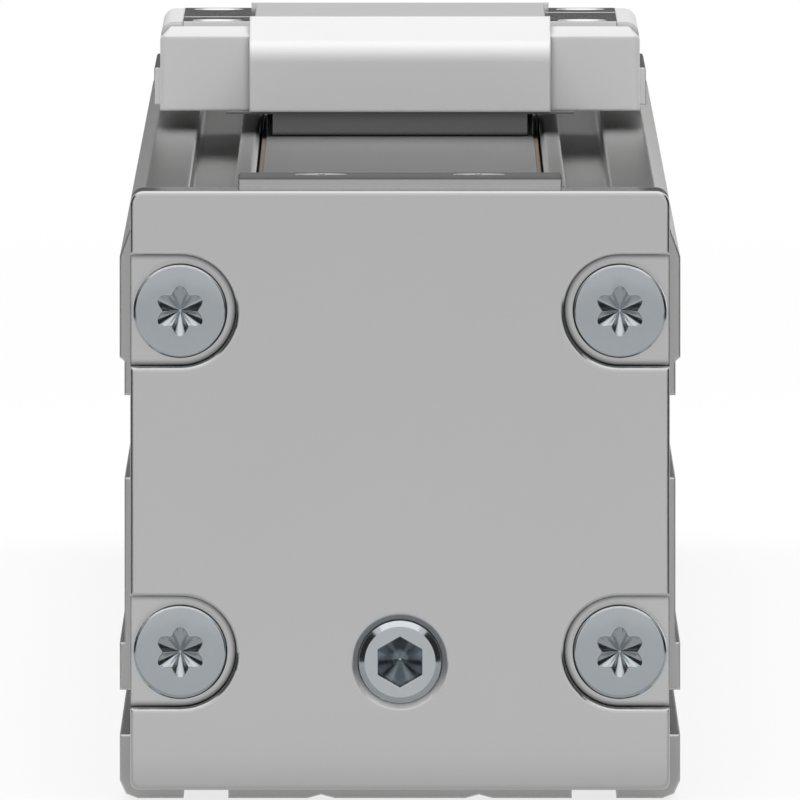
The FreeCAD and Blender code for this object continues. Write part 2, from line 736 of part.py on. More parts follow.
def make_bearing_retainer():
    """The turned flange that keeps the fixed bearing in its seat and centres the motor."""
    spigot = dim.fixed_bearing_outside / 2
    back = dim.drive_long - dim.bearing_wall - dim.fixed_bearing_wide
    shaft = dim.shaft_collar / 2 + dim.running_gap
    body = turned("bearing_retainer", [
        (dim.retainer_bore / 2, ZERO), (spigot, ZERO), (spigot, back), (PILOT_WIDE / 2, back),
        (PILOT_WIDE / 2, back + dim.pilot_high), (shaft, back + dim.pilot_high),
        (shaft, back), (dim.retainer_bore / 2, back),
    ], RETAINER_Y, z=SPINDLE)
    bore_from_back(body, back + dim.pilot_high, RETAINER_SPOTS,
                   dim.retainer_screw / 2 + dim.fit_gap, dim.pilot_high)
    bore_from_back(body, back + dim.pilot_high, RETAINER_SPOTS,
                   dim.retainer_screw_head / 2 + dim.fit_gap, dim.pilot_high / 2)


def make_retainer_screws():
    """Four small screws in the corners of the retainer, sunk into its flange."""
    seat = dim.pilot_high / 2
    body = screw("retainer_screws", dim.retainer_screw_head, seat, dim.retainer_screw,
                 seat + dim.motor_thread_deep / 2, -1, DRIVE_BACK_Y + seat,
                 -RETAINER_SCREW_PITCH / 2, SPINDLE - RETAINER_SCREW_PITCH / 2)
    repeat(body, "X_Axis", RETAINER_SCREW_PITCH)
    repeat(body, "Z_Axis", RETAINER_SCREW_PITCH)


def ball_bearing(name, bore, outside, width, ball, y):
    """A ball bearing on the spindle's axis as three pieces: two grooved rings and the balls."""
    middle = (bore + outside) / 4
    rings = {
        "outer": (middle + dim.ring_gap / 2, outside / 2),
        "inner": (bore / 2 + dim.fit_gap, middle - dim.ring_gap / 2),
    }
    for side, (low, high) in rings.items():
        body = turned(f"{name}_{side}", rectangle(low, high, ZERO, width), y, z=SPINDLE)
        sketch = new_sketch(body, "XY_Plane")
        draw_circle(sketch, middle, width / 2, ball / 2 + dim.fit_gap)
        groove = body.newObject("PartDesign::Groove", f"{body.Label}_track")
        groove.Profile = sketch
        groove.ReferenceAxis = (sketch, ["V_Axis"])
        groove.Angle = 360
    body = new_body(f"{name}_balls", y, z=SPINDLE)
    sphere = doc.addObject("PartDesign::AdditiveSphere", f"{name}_ball")
    body.addObject(sphere)
    sphere.setExpression("Radius", (ball / 2).text)
    sphere.AttachmentSupport = [(origin_item(body, "XY_Plane"), "")]
    sphere.MapMode = "FlatFace"
    sphere.setExpression("AttachmentOffset.Base.x", middle.text)
    sphere.setExpression("AttachmentOffset.Base.y", (width / 2).text)
    doc.recompute()
    ring_of(body, dim.ball_count)


def make_ball_screw():
    """The spindle, from the front journal to the drive shaft, with a collar behind each bearing."""
    start = FRONT_Y + dim.cap_thick - dim.front_bearing_wide
    journal = dim.front_bearing_wide
    shoulder = journal + dim.bumper_long / 2
    seat = BEARING_Y - start
    clamp = RETAINER_Y + dim.lock_nut_long - start
    outside = DRIVE_BACK_Y + dim.pilot_high - start
    tip = DRIVE_BACK_Y + dim.shaft_out - start
    bevel = dim.cap_edge_round
    turned("ball_screw", [
        (ZERO, ZERO), (dim.front_journal / 2, ZERO), (dim.front_journal / 2, journal),
        (dim.shaft_collar / 2, journal), (dim.shaft_collar / 2, shoulder),
        (dim.spindle_wide / 2, shoulder + dim.spindle_wide / 2 - dim.shaft_collar / 2),
        (dim.spindle_wide / 2, seat), (dim.fixed_journal / 2, seat), (dim.fixed_journal / 2, clamp),
        (dim.shaft_collar / 2, clamp), (dim.shaft_collar / 2, outside), (dim.shaft_wide / 2, outside),
        (dim.shaft_wide / 2, tip - bevel),
        (dim.shaft_wide / 2 - bevel, tip), (ZERO, tip),
    ], start, z=SPINDLE)


def make_lock_nut():
    """The round nut that clamps the inner ring of the fixed bearing against the spindle's shoulder."""
    inside = dim.fixed_journal / 2 + dim.fit_gap
    body = turned("lock_nut", rectangle(inside, dim.lock_nut_wide / 2, ZERO, dim.lock_nut_long),
                  RETAINER_Y, z=SPINDLE)
    bevel = dim.cap_edge_round
    dress(body, "Chamfer", bevel,
          lambda at, way: near(at.y, dim.lock_nut_long) and abs(at.x) + abs(at.z) > float(inside) * 1.5)


def make_bumpers():
    """Rubber rings round the spindle that the carriage meets at the ends of its travel."""
    section = rectangle(dim.bumper_bore / 2, dim.bumper_wide / 2, ZERO, dim.bumper_long)
    turned("front_bumper", section, PROFILE_Y, z=SPINDLE)
    turned("rear_bumper", section, PROFILE_END_Y - dim.bumper_long, z=SPINDLE)


# The tangent of half of 45 degrees moves a sloped side of the runner's track clear of the rail
HALF_SLOPE = 2 ** 0.5 - 1


def make_guide_rail():
    """The waisted rail on the floor of the profile, with a row of stepped screw holes."""
    body = new_body("guide_rail", PROFILE_Y, z=dim.cavity_floor)
    half = dim.rail_width / 2
    waist_low = dim.rail_foot_high + dim.rail_taper
    waist_high = waist_low + dim.rail_waist_high
    sketch = new_sketch(body, "XZ_Plane", -dim.rail_end_gap)
    draw_outline(sketch, symmetric([
        (half, ZERO), (half, dim.rail_foot_high), (dim.rail_waist / 2, waist_low),
        (dim.rail_waist / 2, waist_high), (half, waist_high + dim.rail_taper),
        (half, dim.rail_high - dim.rail_bevel), (half - dim.rail_bevel, dim.rail_high),
    ]))
    pad(sketch, RAIL_LONG)
    steps = ((dim.rail_screw / 2 + dim.fit_gap, dim.rail_high),
             (dim.rail_screw_head / 2 + dim.fit_gap, dim.rail_high - dim.rail_foot_high - dim.rail_taper))
    for radius, deep in steps:
        sketch = new_sketch(body, "XY_Plane", dim.rail_high)
        draw_circle(sketch, ZERO, RAIL_SCREW_Y, radius)
        repeat_cut(body, pocket(sketch, deep), dim.rail_screw_count, RAIL_SCREW_PITCH)


def make_rail_screws():
    """The row of screws that holds the rail to the floor of the profile."""
    seat = dim.rail_foot_high + dim.rail_taper
    body = screw("rail_screws", dim.rail_screw_head, dim.rail_screw, dim.rail_screw,
                 seat + RAIL_SCREW_DEEP - dim.running_gap, -1, PROFILE_Y + RAIL_SCREW_Y,
                 z=dim.cavity_floor + seat, upright=True)
    repeat(body, "Y_Axis", RAIL_SCREW_PITCH, dim.rail_screw_count)


def runner_piece(label, front, length, inset, play):
    """A length of the runner that grips the rail's waist; inset makes its outside smaller."""
    body = new_body(label, SLIDE_Y, z=dim.cavity_floor)
    half = CARRIAGE_WIDTH / 2 - inset
    foot = dim.runner_foot_gap + inset
    wide = dim.rail_width / 2 + play
    narrow = dim.rail_waist / 2 + play
    waist_low = dim.rail_foot_high + dim.rail_taper + HALF_SLOPE * play
    waist_high = waist_low + dim.rail_waist_high - 2 * HALF_SLOPE * play
    sketch = new_sketch(body, "XZ_Plane", -front)
    draw_outline(sketch, symmetric([
        (wide, dim.rail_high + play), (wide, waist_high + wide - narrow), (narrow, waist_high),
        (narrow, waist_low), (narrow + waist_low - foot, foot), (half, foot),
        (half, RUNNER_HIGH - inset),
    ]))
    pad(sketch, length)
    return body


def make_runner():
    """The steel runner block and the plastic cap at each of its ends."""
    half = RUNNER_LONG / 2
    body = runner_piece("runner_block", -half, RUNNER_LONG, ZERO, dim.runner_play)
    sketch = new_sketch(body, "XY_Plane", RUNNER_HIGH)
    for x, y in RUNNER_SPOTS:
        draw_circle(sketch, x, y, dim.neck_screw / 2 + dim.fit_gap)
    pocket(sketch, dim.runner_screw_grip)
    play = dim.runner_play + dim.runner_cap_inset
    runner_piece("runner_cap_front", -half - dim.runner_cap_long, dim.runner_cap_long,
                 dim.runner_cap_inset, play)
    runner_piece("runner_cap_rear", half, dim.runner_cap_long, dim.runner_cap_inset, play)


def make_carriage():
    """The block inside the profile that joins the slide's neck, the ball nut and the runner."""
    body = new_body("carriage", SLIDE_Y)
    half = CARRIAGE_WIDTH / 2
    sketch = new_sketch(body, "XZ_Plane", CARRIAGE_LONG / 2)
    draw_outline(sketch, rectangle(-half, half, RUNNER_TOP, CARRIAGE_TOP))
    pad(sketch, CARRIAGE_LONG)
    dress(body, "Chamfer", dim.carriage_bevel, lambda at, way: along(way, "y"))
    sketch = new_sketch(body, "XZ_Plane", CARRIAGE_LONG / 2)
    draw_circle(sketch, ZERO, SPINDLE, NUT_WIDE / 2 + dim.fit_gap)
    pocket(sketch, CARRIAGE_LONG)
    sketch = new_sketch(body, "XZ_Plane", CARRIAGE_LONG / 2)
    draw_circle(sketch, ZERO, SPINDLE, NUT_FLANGE / 2 + dim.fit_gap)
    pocket(sketch, dim.nut_flange_long)
    steps = ((NECK_SPOTS, dim.neck_screw / 2 + dim.fit_gap, dim.neck_screw_grip + dim.running_gap),
             (RUNNER_SPOTS, dim.neck_screw / 2 + dim.fit_gap, CARRIAGE_TOP - RUNNER_TOP),
             (RUNNER_SPOTS, dim.neck_screw_head / 2 + dim.fit_gap, dim.neck_screw_head_high * 2))
    for spots, radius, deep in steps:
        sketch = new_sketch(body, "XY_Plane", CARRIAGE_TOP)
        for x, y in spots:
            draw_circle(sketch, x, y, radius)
        pocket(sketch, deep)


def make_carriage_screws():
    """Screws from the carriage down into the runner, and from the slide's channel into the carriage."""
    deep = dim.neck_screw_head_high * 2
    body = screw("runner_screws", dim.neck_screw_head, dim.neck_screw_head_high, dim.neck_screw,
                 CARRIAGE_TOP - deep - RUNNER_TOP + dim.runner_screw_grip - dim.running_gap, -1,
                 SLIDE_Y - RUNNER_SCREW_ROW / 2, -RUNNER_SCREW_PITCH / 2,
                 CARRIAGE_TOP - deep, upright=True)
    repeat(body, "X_Axis", RUNNER_SCREW_PITCH)
    repeat(body, "Y_Axis", RUNNER_SCREW_ROW)
    seat = CHANNEL_FLOOR - dim.neck_screw_head_high
    body = screw("neck_screws", dim.neck_screw_head, dim.neck_screw_head_high, dim.neck_screw,
                 seat - CARRIAGE_TOP + dim.neck_screw_grip, -1,
                 SLIDE_Y - NECK_SCREW_ROW / 2, -NECK_SCREW_PITCH / 2, seat, upright=True)
    repeat(body, "X_Axis", NECK_SCREW_PITCH)
    repeat(body, "Y_Axis", NECK_SCREW_ROW)


def make_ball_nut():
    """The ball nut: a flange let into the carriage's front face and a long body behind it."""
    inside = dim.spindle_wide / 2 + dim.fit_gap
    body = turned("ball_nut", [
        (inside, ZERO), (NUT_FLANGE / 2, ZERO), (NUT_FLANGE / 2, dim.nut_flange_long),
        (NUT_WIDE / 2, dim.nut_flange_long), (NUT_WIDE / 2, NUT_LONG), (inside, NUT_LONG),
    ], SLIDE_Y - CARRIAGE_LONG / 2, z=SPINDLE)
    dress(body, "Chamfer", dim.cap_edge_round, lambda at, way: near(at.y, NUT_LONG))


def make_slide_body():
    """The metal slide: two screw pads, a channel for the strip between them and the neck below."""
    body = new_body("slide_body", SLIDE_Y)
    half_long = dim.slide_body_long / 2
    cover = COVER_WIDTH / 2
    channel = CHANNEL_WIDTH / 2
    under = SHELF + dim.slide_lift
    cover_seat = SHELF + dim.cover_top - dim.cover_thick
    sketch = new_sketch(body, "XZ_Plane", half_long)
    draw_outline(sketch, symmetric([
        (FLANGE_WIDTH / 2, under),
        (FLANGE_WIDTH / 2, SHELF + dim.slide_flange_top),
        (PADS_WIDTH / 2, SHELF + dim.slide_flange_top),
        (PADS_WIDTH / 2, SHELF + dim.pad_top),
        (cover, SHELF + dim.pad_top),
        (cover, cover_seat),
        (channel, cover_seat),
        (channel, CHANNEL_FLOOR),
    ]))
    pad(sketch, dim.slide_body_long)
    dress(body, "Fillet", dim.slide_flange_round,
          lambda at, way: along(way, "y") and near(at.z, SHELF + dim.slide_flange_top)
          and near(abs(at.x), FLANGE_WIDTH / 2))

    sketch = new_sketch(body, "XZ_Plane", NECK_LONG / 2)
    neck = NECK_WIDTH / 2
    draw_outline(sketch, rectangle(-neck, neck, CARRIAGE_TOP, under))
    pad(sketch, NECK_LONG)

    sketch = new_sketch(body, "XY_Plane", CHANNEL_FLOOR)
    for side in (-1, 1):
        draw_outline(sketch, rectangle(-channel, channel, side * NECK_LONG / 2,
                                       side * (half_long + PAST))[::side])
    pocket(sketch, CHANNEL_FLOOR - under + PAST)

    thread_deep = dim.pad_top - dim.slide_lift - dim.slide_thread_floor
    steps = ((NECK_SPOTS, dim.neck_screw / 2 + dim.fit_gap, CHANNEL_FLOOR, CHANNEL_FLOOR - CARRIAGE_TOP),
             (NECK_SPOTS, dim.neck_screw_head / 2 + dim.fit_gap, CHANNEL_FLOOR, dim.neck_screw_head_high),
             (THREAD_SPOTS, dim.slide_thread / 2, SHELF + dim.pad_top, thread_deep))
    for spots, radius, top, deep in steps:
        sketch = new_sketch(body, "XY_Plane", top)
        for x, y in spots:
            draw_circle(sketch, x, y, radius)
        pocket(sketch, deep)
    dress(body, "Chamfer", (dim.slide_thread_mouth - dim.slide_thread) / 2,
          lambda at, way: near(at.z, SHELF + dim.pad_top) and way.Length < 1e-6)

    sketch = new_sketch(body, "XY_Plane", SHELF + dim.pad_top)
    groove = half_long - dim.pad_groove_edge
    for side in (-1, 1):
        reach = [side * cover, side * (PADS_WIDTH / 2 + PAST)][::side]
        middle = side * groove
        draw_outline(sketch, rectangle(reach[0], reach[1], middle - dim.pad_groove_width / 2,
                                       middle + dim.pad_groove_width / 2))
    pocket(sketch, dim.pad_groove_deep)


def make_strip_cover():
    """The plate over the strip, let in between the two pads."""
    body = new_body("strip_cover", SLIDE_Y)
    half = COVER_WIDTH / 2
    top = SHELF + dim.cover_top
    sketch = new_sketch(body, "XZ_Plane", dim.slide_body_long / 2)
    draw_outline(sketch, symmetric([
        (half, top - dim.cover_thick), (half, top - dim.cover_bevel), (half - dim.cover_bevel, top),
    ]))
    pad(sketch, dim.slide_body_long)


def make_slide_cap(label, turn):
    """A white end cap of the slide with its nose and side arms; turn is its angle about +Z."""
    body = new_body(label, SLIDE_Y, turn=turn)
    wing = SLIDE_LONG / 2
    back = dim.slide_body_long / 2
    foot = SHELF + dim.slide_cap_foot
    half = SLIDE_CAP_WIDTH / 2
    arm_top = SHELF + dim.pad_top - dim.fit_gap
    arm = half - dim.slide_arm_inset
    sketch = new_sketch(body, "XZ_Plane", back)
    draw_mirrored(sketch, rectangle(PADS_WIDTH / 2, arm, SHELF + dim.slide_flange_top, arm_top))
    pad(sketch, back)
    dress(body, "Fillet", dim.slide_arm_round,
          lambda at, way: near(abs(at.x), arm) and near(at.z, arm_top) and along(way, "y"))
    profiles = (
        (wing, dim.slide_cap_front_top, dim.slide_cap_back_top, SLIDE_CAP_WIDTH),
        (NOSE_Y, dim.nose_front_top, dim.cover_top, NOSE_WIDTH),
    )
    for front, front_top, back_top, width in profiles:
        sketch = new_sketch(body, "YZ_Plane")
        draw_outline(sketch, [(-front, foot), (-back, foot), (-back, SHELF + back_top),
                              (-front, SHELF + front_top)])
        pad(sketch, width, both_ways=True)
    dress(body, "Fillet", dim.nose_round,
          lambda at, way: near(at.y, -NOSE_Y) and along(way, "x") and not near(at.z, foot))
    dress(body, "Fillet", dim.slide_cap_round,
          lambda at, way: near(abs(at.x), half) and near(at.y, -wing) and along(way, "z"))
    wing_top = SHELF + dim.slide_cap_back_top
    sketch = new_sketch(body, "XZ_Plane", wing)
    draw_mirrored(sketch, [(half, wing_top - dim.wing_bevel), (half + PAST, wing_top - dim.wing_bevel),
                           (half + PAST, wing_top + PAST), (half - dim.wing_bevel, wing_top + PAST),
                           (half - dim.wing_bevel, wing_top)])
    pocket(sketch, wing - back)
    channel = CHANNEL_WIDTH / 2
    sketch = new_sketch(body, "XY_Plane", foot)
    draw_outline(sketch, rectangle(-channel, channel, -NOSE_Y + dim.cap_wall, -back + PAST))
    pocket(sketch, dim.slide_flange_top - dim.slide_cap_foot, against_normal=False)


def make_strip_guide(label, turn):
    """The dark shoe under a slide cap's nose that presses the strip down on its magnets."""
    body = new_body(label, SLIDE_Y, turn=turn)
    front = NOSE_Y - dim.guide_inset
    half = GUIDE_WIDTH / 2
    sketch = new_sketch(body, "XZ_Plane", front)
    foot = SHELF + dim.slide_cap_foot
    flange = half + dim.guide_flange_width
    draw_outline(sketch, symmetric([
        (half, STRIP_TOP + dim.guide_strip_gap), (half, foot - dim.guide_flange_thick),
        (flange, foot - dim.guide_flange_thick), (flange, foot),
    ]))
    pad(sketch, dim.guide_long)
    dress(body, "Fillet", dim.cap_edge_round,
          lambda at, way: along(way, "x") and at.z < float(SHELF))


def clamp_spots(y):
    """Where the two screws of a strip clamp stand, the clamp's front edge being at y."""
    return [(side * CLAMP_SCREW_PITCH / 2, y + dim.clamp_long / 2) for side in (-1, 1)]


def make_cover_strip():
    """The thin steel strip: flat on its magnets and lifted over the slide's neck."""
    body = new_body("cover_strip")
    start = NOSE_Y - dim.guide_inset - dim.guide_long
    stop = NECK_LONG / 2 + dim.running_gap
    lower = [
        (PROFILE_Y, STRIP_UNDER), (SLIDE_Y - start, STRIP_UNDER),
        (SLIDE_Y - stop, STRIP_UNDER + STRIP_RISE), (SLIDE_Y + stop, STRIP_UNDER + STRIP_RISE),
        (SLIDE_Y + start, STRIP_UNDER), (PROFILE_END_Y, STRIP_UNDER),
    ]
    upper = [(y, z + dim.strip_thick) for y, z in reversed(lower)]
    sketch = new_sketch(body, "YZ_Plane")
    draw_outline(sketch, lower + upper)
    pad(sketch, STRIP_WIDTH, both_ways=True)
    sketch = new_sketch(body, "XY_Plane", STRIP_TOP)
    for x, y in clamp_spots(PROFILE_Y) + clamp_spots(PROFILE_END_Y - dim.clamp_long):
        draw_circle(sketch, x, y, dim.clamp_screw / 2 + dim.fit_gap)
    pocket(sketch, dim.strip_thick)


def make_magnet_strips():
    """The magnetic strips along both sides of the slit that hold the steel strip down."""
    outer = RECESS_WIDTH / 2 - dim.magnet_gap
    for label, side in (("magnet_strip_left", -1), ("magnet_strip_right", 1)):
        body = new_body(label, PROFILE_Y + dim.clamp_long)
        reach = [side * (outer - dim.magnet_width), side * outer][::side]
        sketch = new_sketch(body, "XZ_Plane")
        draw_outline(sketch, rectangle(reach[0], reach[1], RECESS_FLOOR, STRIP_UNDER))
        pad(sketch, PROFILE_LONG - 2 * dim.clamp_long)


def make_strip_clamp(end, y):
    """The plate that clamps an end of the strip, and the anchor below it that its screws bite into."""
    lip = SHELF - dim.lip_drop
    top = SHELF + dim.clamp_top
    hole = dim.clamp_screw / 2 + dim.fit_gap
    body = new_body(f"strip_clamp_{end}", y)
    sketch = new_sketch(body, "XZ_Plane")
    draw_outline(sketch, symmetric([
        (STRIP_WIDTH / 2, STRIP_TOP), (STRIP_WIDTH / 2, lip), (CLAMP_WIDTH / 2, lip),
        (CLAMP_WIDTH / 2, top),
    ]))
    pad(sketch, dim.clamp_long)
    dress(body, "Fillet", dim.cap_edge_round,
          lambda at, way: near(at.z, top) and way.Length > 1e-6)
    sketch = new_sketch(body, "XY_Plane", top)
    for x, spot in clamp_spots(ZERO):
        draw_circle(sketch, x, spot, hole)
    pocket(sketch, top - STRIP_TOP)
    dress(body, "Chamfer", dim.clamp_screw_head / 2 - hole,
          lambda at, way: near(at.z, top) and way.Length < 1e-6)

    body = new_body(f"strip_anchor_{end}", y)
    web = SLIT_WIDTH / 2 - dim.fit_gap
    flange = RECESS_WIDTH / 2 - dim.fit_gap
    sketch = new_sketch(body, "XZ_Plane")
    draw_outline(sketch, symmetric([
        (web, SHELF - dim.anchor_deep), (web, RECESS_FLOOR), (flange, RECESS_FLOOR), (flange, STRIP_UNDER),
    ]))
    pad(sketch, dim.clamp_long)
    sketch = new_sketch(body, "XY_Plane", STRIP_UNDER)
    for x, spot in clamp_spots(ZERO):
        draw_circle(sketch, x, spot, hole)
    pocket(sketch, dim.clamp_screw_grip + dim.running_gap)


def make_clamp_screws():
    """Two countersunk screws in each strip clamp."""
    head = dim.clamp_screw_head / 2 - dim.fit_gap
    shank = dim.clamp_screw / 2
    tip = STRIP_UNDER - dim.clamp_screw_grip - SHELF - dim.clamp_top
    x, y = clamp_spots(PROFILE_Y)[0]
    body = turned("strip_clamp_screws", [
        (ZERO, ZERO), (head, ZERO), (shank, shank - head), (shank, tip), (ZERO, tip),
    ], y, x, SHELF + dim.clamp_top, upright=True)
    repeat(body, "X_Axis", CLAMP_SCREW_PITCH)
    repeat(body, "Y_Axis", PROFILE_LONG - dim.clamp_long)


def build():
    """Make every piece of the axis."""
    make_profile()
    make_front_end_cap()
    make_front_cap_screws()
    make_vent_plug()
    make_drive_block()
    make_drive_block_screws()
    make_bearing_retainer()
    make_retainer_screws()
    ball_bearing("front_bearing", dim.front_journal, dim.front_bearing_outside,
                 dim.front_bearing_wide, dim.front_ball, PROFILE_Y - dim.front_bearing_wide)
    ball_bearing("fixed_bearing", dim.fixed_journal, dim.fixed_bearing_outside,
                 dim.fixed_bearing_wide, dim.fixed_ball, BEARING_Y)
    make_ball_screw()
    make_lock_nut()
    make_bumpers()
    make_guide_rail()
    make_rail_screws()
    make_cover_strip()
    make_magnet_strips()
    make_strip_clamp("front", PROFILE_Y)
    make_strip_clamp("rear", PROFILE_END_Y - dim.clamp_long)
    make_clamp_screws()
    make_runner()
    make_carriage()
    make_carriage_screws()
    make_ball_nut()
    make_slide_body()
    make_strip_cover()
    for end, turn in (("front", 0), ("rear", 180)):
        make_slide_cap(f"{end}_slide_cap", turn)
        make_strip_guide(f"{end}_strip_guide", turn)
    doc.recompute()


def export():
    """Check every object, then write each piece to its own file."""
    for item in doc.Objects:
        if "Invalid" in item.State or "Error" in item.State:
            raise ValueError(f"{item.Label} failed: {item.State}")
    for body in sub_parts:
        if body.Shape.isNull() or not body.Shape.isValid():
            raise ValueError(f"{body.Label} has no valid shape")
    os.makedirs("parts", exist_ok=True)
    for body in sub_parts:
        body.Shape.exportStep(f"parts/{body.Label}.step")


build()
export()
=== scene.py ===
import json
import logging
import math
from dataclasses import dataclass
from enum import Enum
from typing import Any, Iterable, Optional, Sequence

import bmesh
import bpy
from mathutils import Matrix, Vector


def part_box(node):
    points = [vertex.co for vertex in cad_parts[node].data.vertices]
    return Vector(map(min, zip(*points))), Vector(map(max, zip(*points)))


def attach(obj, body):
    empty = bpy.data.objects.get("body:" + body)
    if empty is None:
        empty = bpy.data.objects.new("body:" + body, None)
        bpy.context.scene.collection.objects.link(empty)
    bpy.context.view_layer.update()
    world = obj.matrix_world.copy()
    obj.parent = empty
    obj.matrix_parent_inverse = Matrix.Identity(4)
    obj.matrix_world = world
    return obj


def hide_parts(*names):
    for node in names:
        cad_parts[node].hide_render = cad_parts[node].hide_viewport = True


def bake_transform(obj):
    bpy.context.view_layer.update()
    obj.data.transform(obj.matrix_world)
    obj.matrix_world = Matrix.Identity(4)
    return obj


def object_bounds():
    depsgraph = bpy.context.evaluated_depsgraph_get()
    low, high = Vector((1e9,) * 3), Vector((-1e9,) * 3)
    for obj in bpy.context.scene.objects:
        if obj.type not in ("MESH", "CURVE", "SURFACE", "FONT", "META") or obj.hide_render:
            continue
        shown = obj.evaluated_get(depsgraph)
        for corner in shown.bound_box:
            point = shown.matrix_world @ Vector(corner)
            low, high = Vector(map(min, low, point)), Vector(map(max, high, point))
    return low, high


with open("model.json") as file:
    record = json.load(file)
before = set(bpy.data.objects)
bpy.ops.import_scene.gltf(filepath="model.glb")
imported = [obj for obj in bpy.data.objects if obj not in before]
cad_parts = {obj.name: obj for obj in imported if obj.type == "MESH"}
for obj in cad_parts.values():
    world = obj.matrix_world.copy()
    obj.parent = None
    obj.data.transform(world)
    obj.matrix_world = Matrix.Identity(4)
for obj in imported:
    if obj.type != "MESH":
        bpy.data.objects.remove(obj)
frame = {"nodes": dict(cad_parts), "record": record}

CAD_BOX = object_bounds()
MM = 0.001
LOG = logging.getLogger("slide_axis")

Colour = tuple[float, float, float]
Point = tuple[float, float, float]


def grey(tone: float) -> Colour:
    """A colour with no hue."""
    return tone, tone, tone


WHITE = grey(1.0)
BLACK = grey(0.0)
# pale tone for worn edges and for painted highlights
PALE_WEAR_AND_SHEEN = grey(0.95)


class Flow:
    """A shader socket whose arithmetic adds the maths nodes it needs."""

    def __init__(self, shader: "Shader", socket: bpy.types.NodeSocket) -> None:
        """Wrap one output socket of a shader's tree."""
        self.shader = shader
        self.socket = socket

    def _maths(self, operation: str, first: Any, second: Any) -> "Flow":
        """Add one Math node with two inputs."""
        return self.shader.node("ShaderNodeMath", {"operation": operation}, {0: first, 1: second})

    def __add__(self, other: Any) -> "Flow":
        """Sum of two values."""
        return self._maths("ADD", self, other)

    def __radd__(self, other: Any) -> "Flow":
        """Sum with a plain number on the left."""
        return self._maths("ADD", other, self)

    def __sub__(self, other: Any) -> "Flow":
        """Difference of two values."""
        return self._maths("SUBTRACT", self, other)

    def __rsub__(self, other: Any) -> "Flow":
        """Difference with a plain number on the left."""
        return self._maths("SUBTRACT", other, self)

    def __mul__(self, other: Any) -> "Flow":
        """Product of two values."""
        return self._maths("MULTIPLY", self, other)

    def __rmul__(self, other: Any) -> "Flow":
        """Product with a plain number on the left."""
        return self._maths("MULTIPLY", other, self)

    def most(self, other: Any) -> "Flow":
        """The larger of two values."""
        return self._maths("MAXIMUM", self, other)


class Shader:
    """A material or world tree, built by naming nodes, their settings and their sockets."""

    def __init__(self, tree: bpy.types.NodeTree) -> None:
        """Start from an emptied tree."""
        self.tree = tree
        tree.nodes.clear()

    def node(self, kind: str, settings: Optional[dict[str, Any]] = None,
             sockets: Optional[dict[Any, Any]] = None, out: Any = 0) -> Flow:
        """Add a node.

        Args:
            kind: Blender's name of the node type.
            settings: The node's own settings, which are set before its sockets.
            sockets: Values or flows by the input's name or number.
            out: Name or number of the output to hand on.

        Returns:
            The chosen output.
        """
        made = self.tree.nodes.new(kind)
        for name, value in (settings or {}).items():
            setattr(made, name, value)
        for name, value in (sockets or {}).items():
            self.put(made.inputs[name], value)
        return Flow(self, made.outputs[out] if len(made.outputs) else None)

    def put(self, socket: bpy.types.NodeSocket, value: Any) -> None:
        """Link a flow into a socket, or set the socket's own value.

        Args:
            socket: The input to fill.
            value: A flow, a number, a vector or a colour.
        """
        if isinstance(value, Flow):
            self.tree.links.new(value.socket, socket)
        elif socket.type == "RGBA" and len(value) == 3:
            socket.default_value = (*value, 1.0)
        else:
            socket.default_value = value

    def mix(self, amount: Any, low: Any, high: Any) -> Flow:
        """Mix two colours by an amount from 0 to 1."""
        return self.node("ShaderNodeMix", {"data_type": "RGBA"},
                         {"Factor": amount, 6: low, 7: high}, 2)

    def spread(self, value: Any, low: float, high: float, start: float = 0.0, end: float = 1.0) -> Flow:
        """Stretch a value from start..end onto low..high."""
        return self.node("ShaderNodeMapRange", {"clamp": True}, {
            "Value": value, "From Min": start, "From Max": end, "To Min": low, "To Max": high})

    def place(self, scale: tuple[float, float, float]) -> Flow:
        """Places on the object, in millimetres, stretched by a scale per axis.

        Args:
            scale: How many times closer the places lie along each axis.

        Returns:
            The stretched places.
        """
        spot = self.node("ShaderNodeTexCoord", out="Object")
        size = tuple(step / MM for step in scale)
        return self.node("ShaderNodeMapping", {}, {"Vector": spot, "Scale": size})

    def noise(self, place: Flow, detail: float = 3.0, rough: float = 0.55) -> Flow:
        """Fractal noise from 0 to 1 at the given places."""
        return self.node("ShaderNodeTexNoise", {"noise_dimensions": "3D"},
                         {"Vector": place, "Scale": 1.0, "Detail": detail, "Roughness": rough})

    def upwards(self, normal: Flow, start: float, end: float) -> Flow:
        """0 where a normal rises less than start, 1 where it rises more than end."""
        return self.spread(self.node("ShaderNodeSeparateXYZ", {}, {0: normal}, "Z"), 0.0, 1.0, start, end)

    def edge_wear_and_sheen(self, edges: Flow) -> Flow:
        """How far a rounded normal leaves the true one: 1 on a sharp edge, 0 on a flat.

        Args:
            edges: The rounded normal.

        Returns:
            The share of wear and painted highlight.
        """
        true = self.node("ShaderNodeNewGeometry", out="Normal")
        both = self.node("ShaderNodeVectorMath", {"operation": "DOT_PRODUCT"}, {0: edges, 1: true}, "Value")
        return self.spread(both, 1.0, 0.0, 0.80, 0.99)

    def corners(self, reach: float = 0.8) -> Flow:
        """How much painted shade a place gets in a corner of its piece: 1 at the root, 0 at a reach in mm
        from it.

        Args:
            reach: How far the painted corner shade spreads, in mm.

        Returns:
            The share of painted shade.
        """
        open_sky = self.node("ShaderNodeAmbientOcclusion", {"samples": 8, "only_local": True},
                             {"Distance": reach * MM}, "AO")
        return self.spread(open_sky, 1.0, 0.0, 0.50, 0.95)


class Grain(Enum):
    """Which way a surface was drawn, ground or moulded, as the scale of its marks per axis."""

    ALONG_AXIS = (6.0, 0.02, 6.0)
    ROUND = (2.2, 2.2, 2.2)
    FINE = (7.0, 7.0, 7.0)


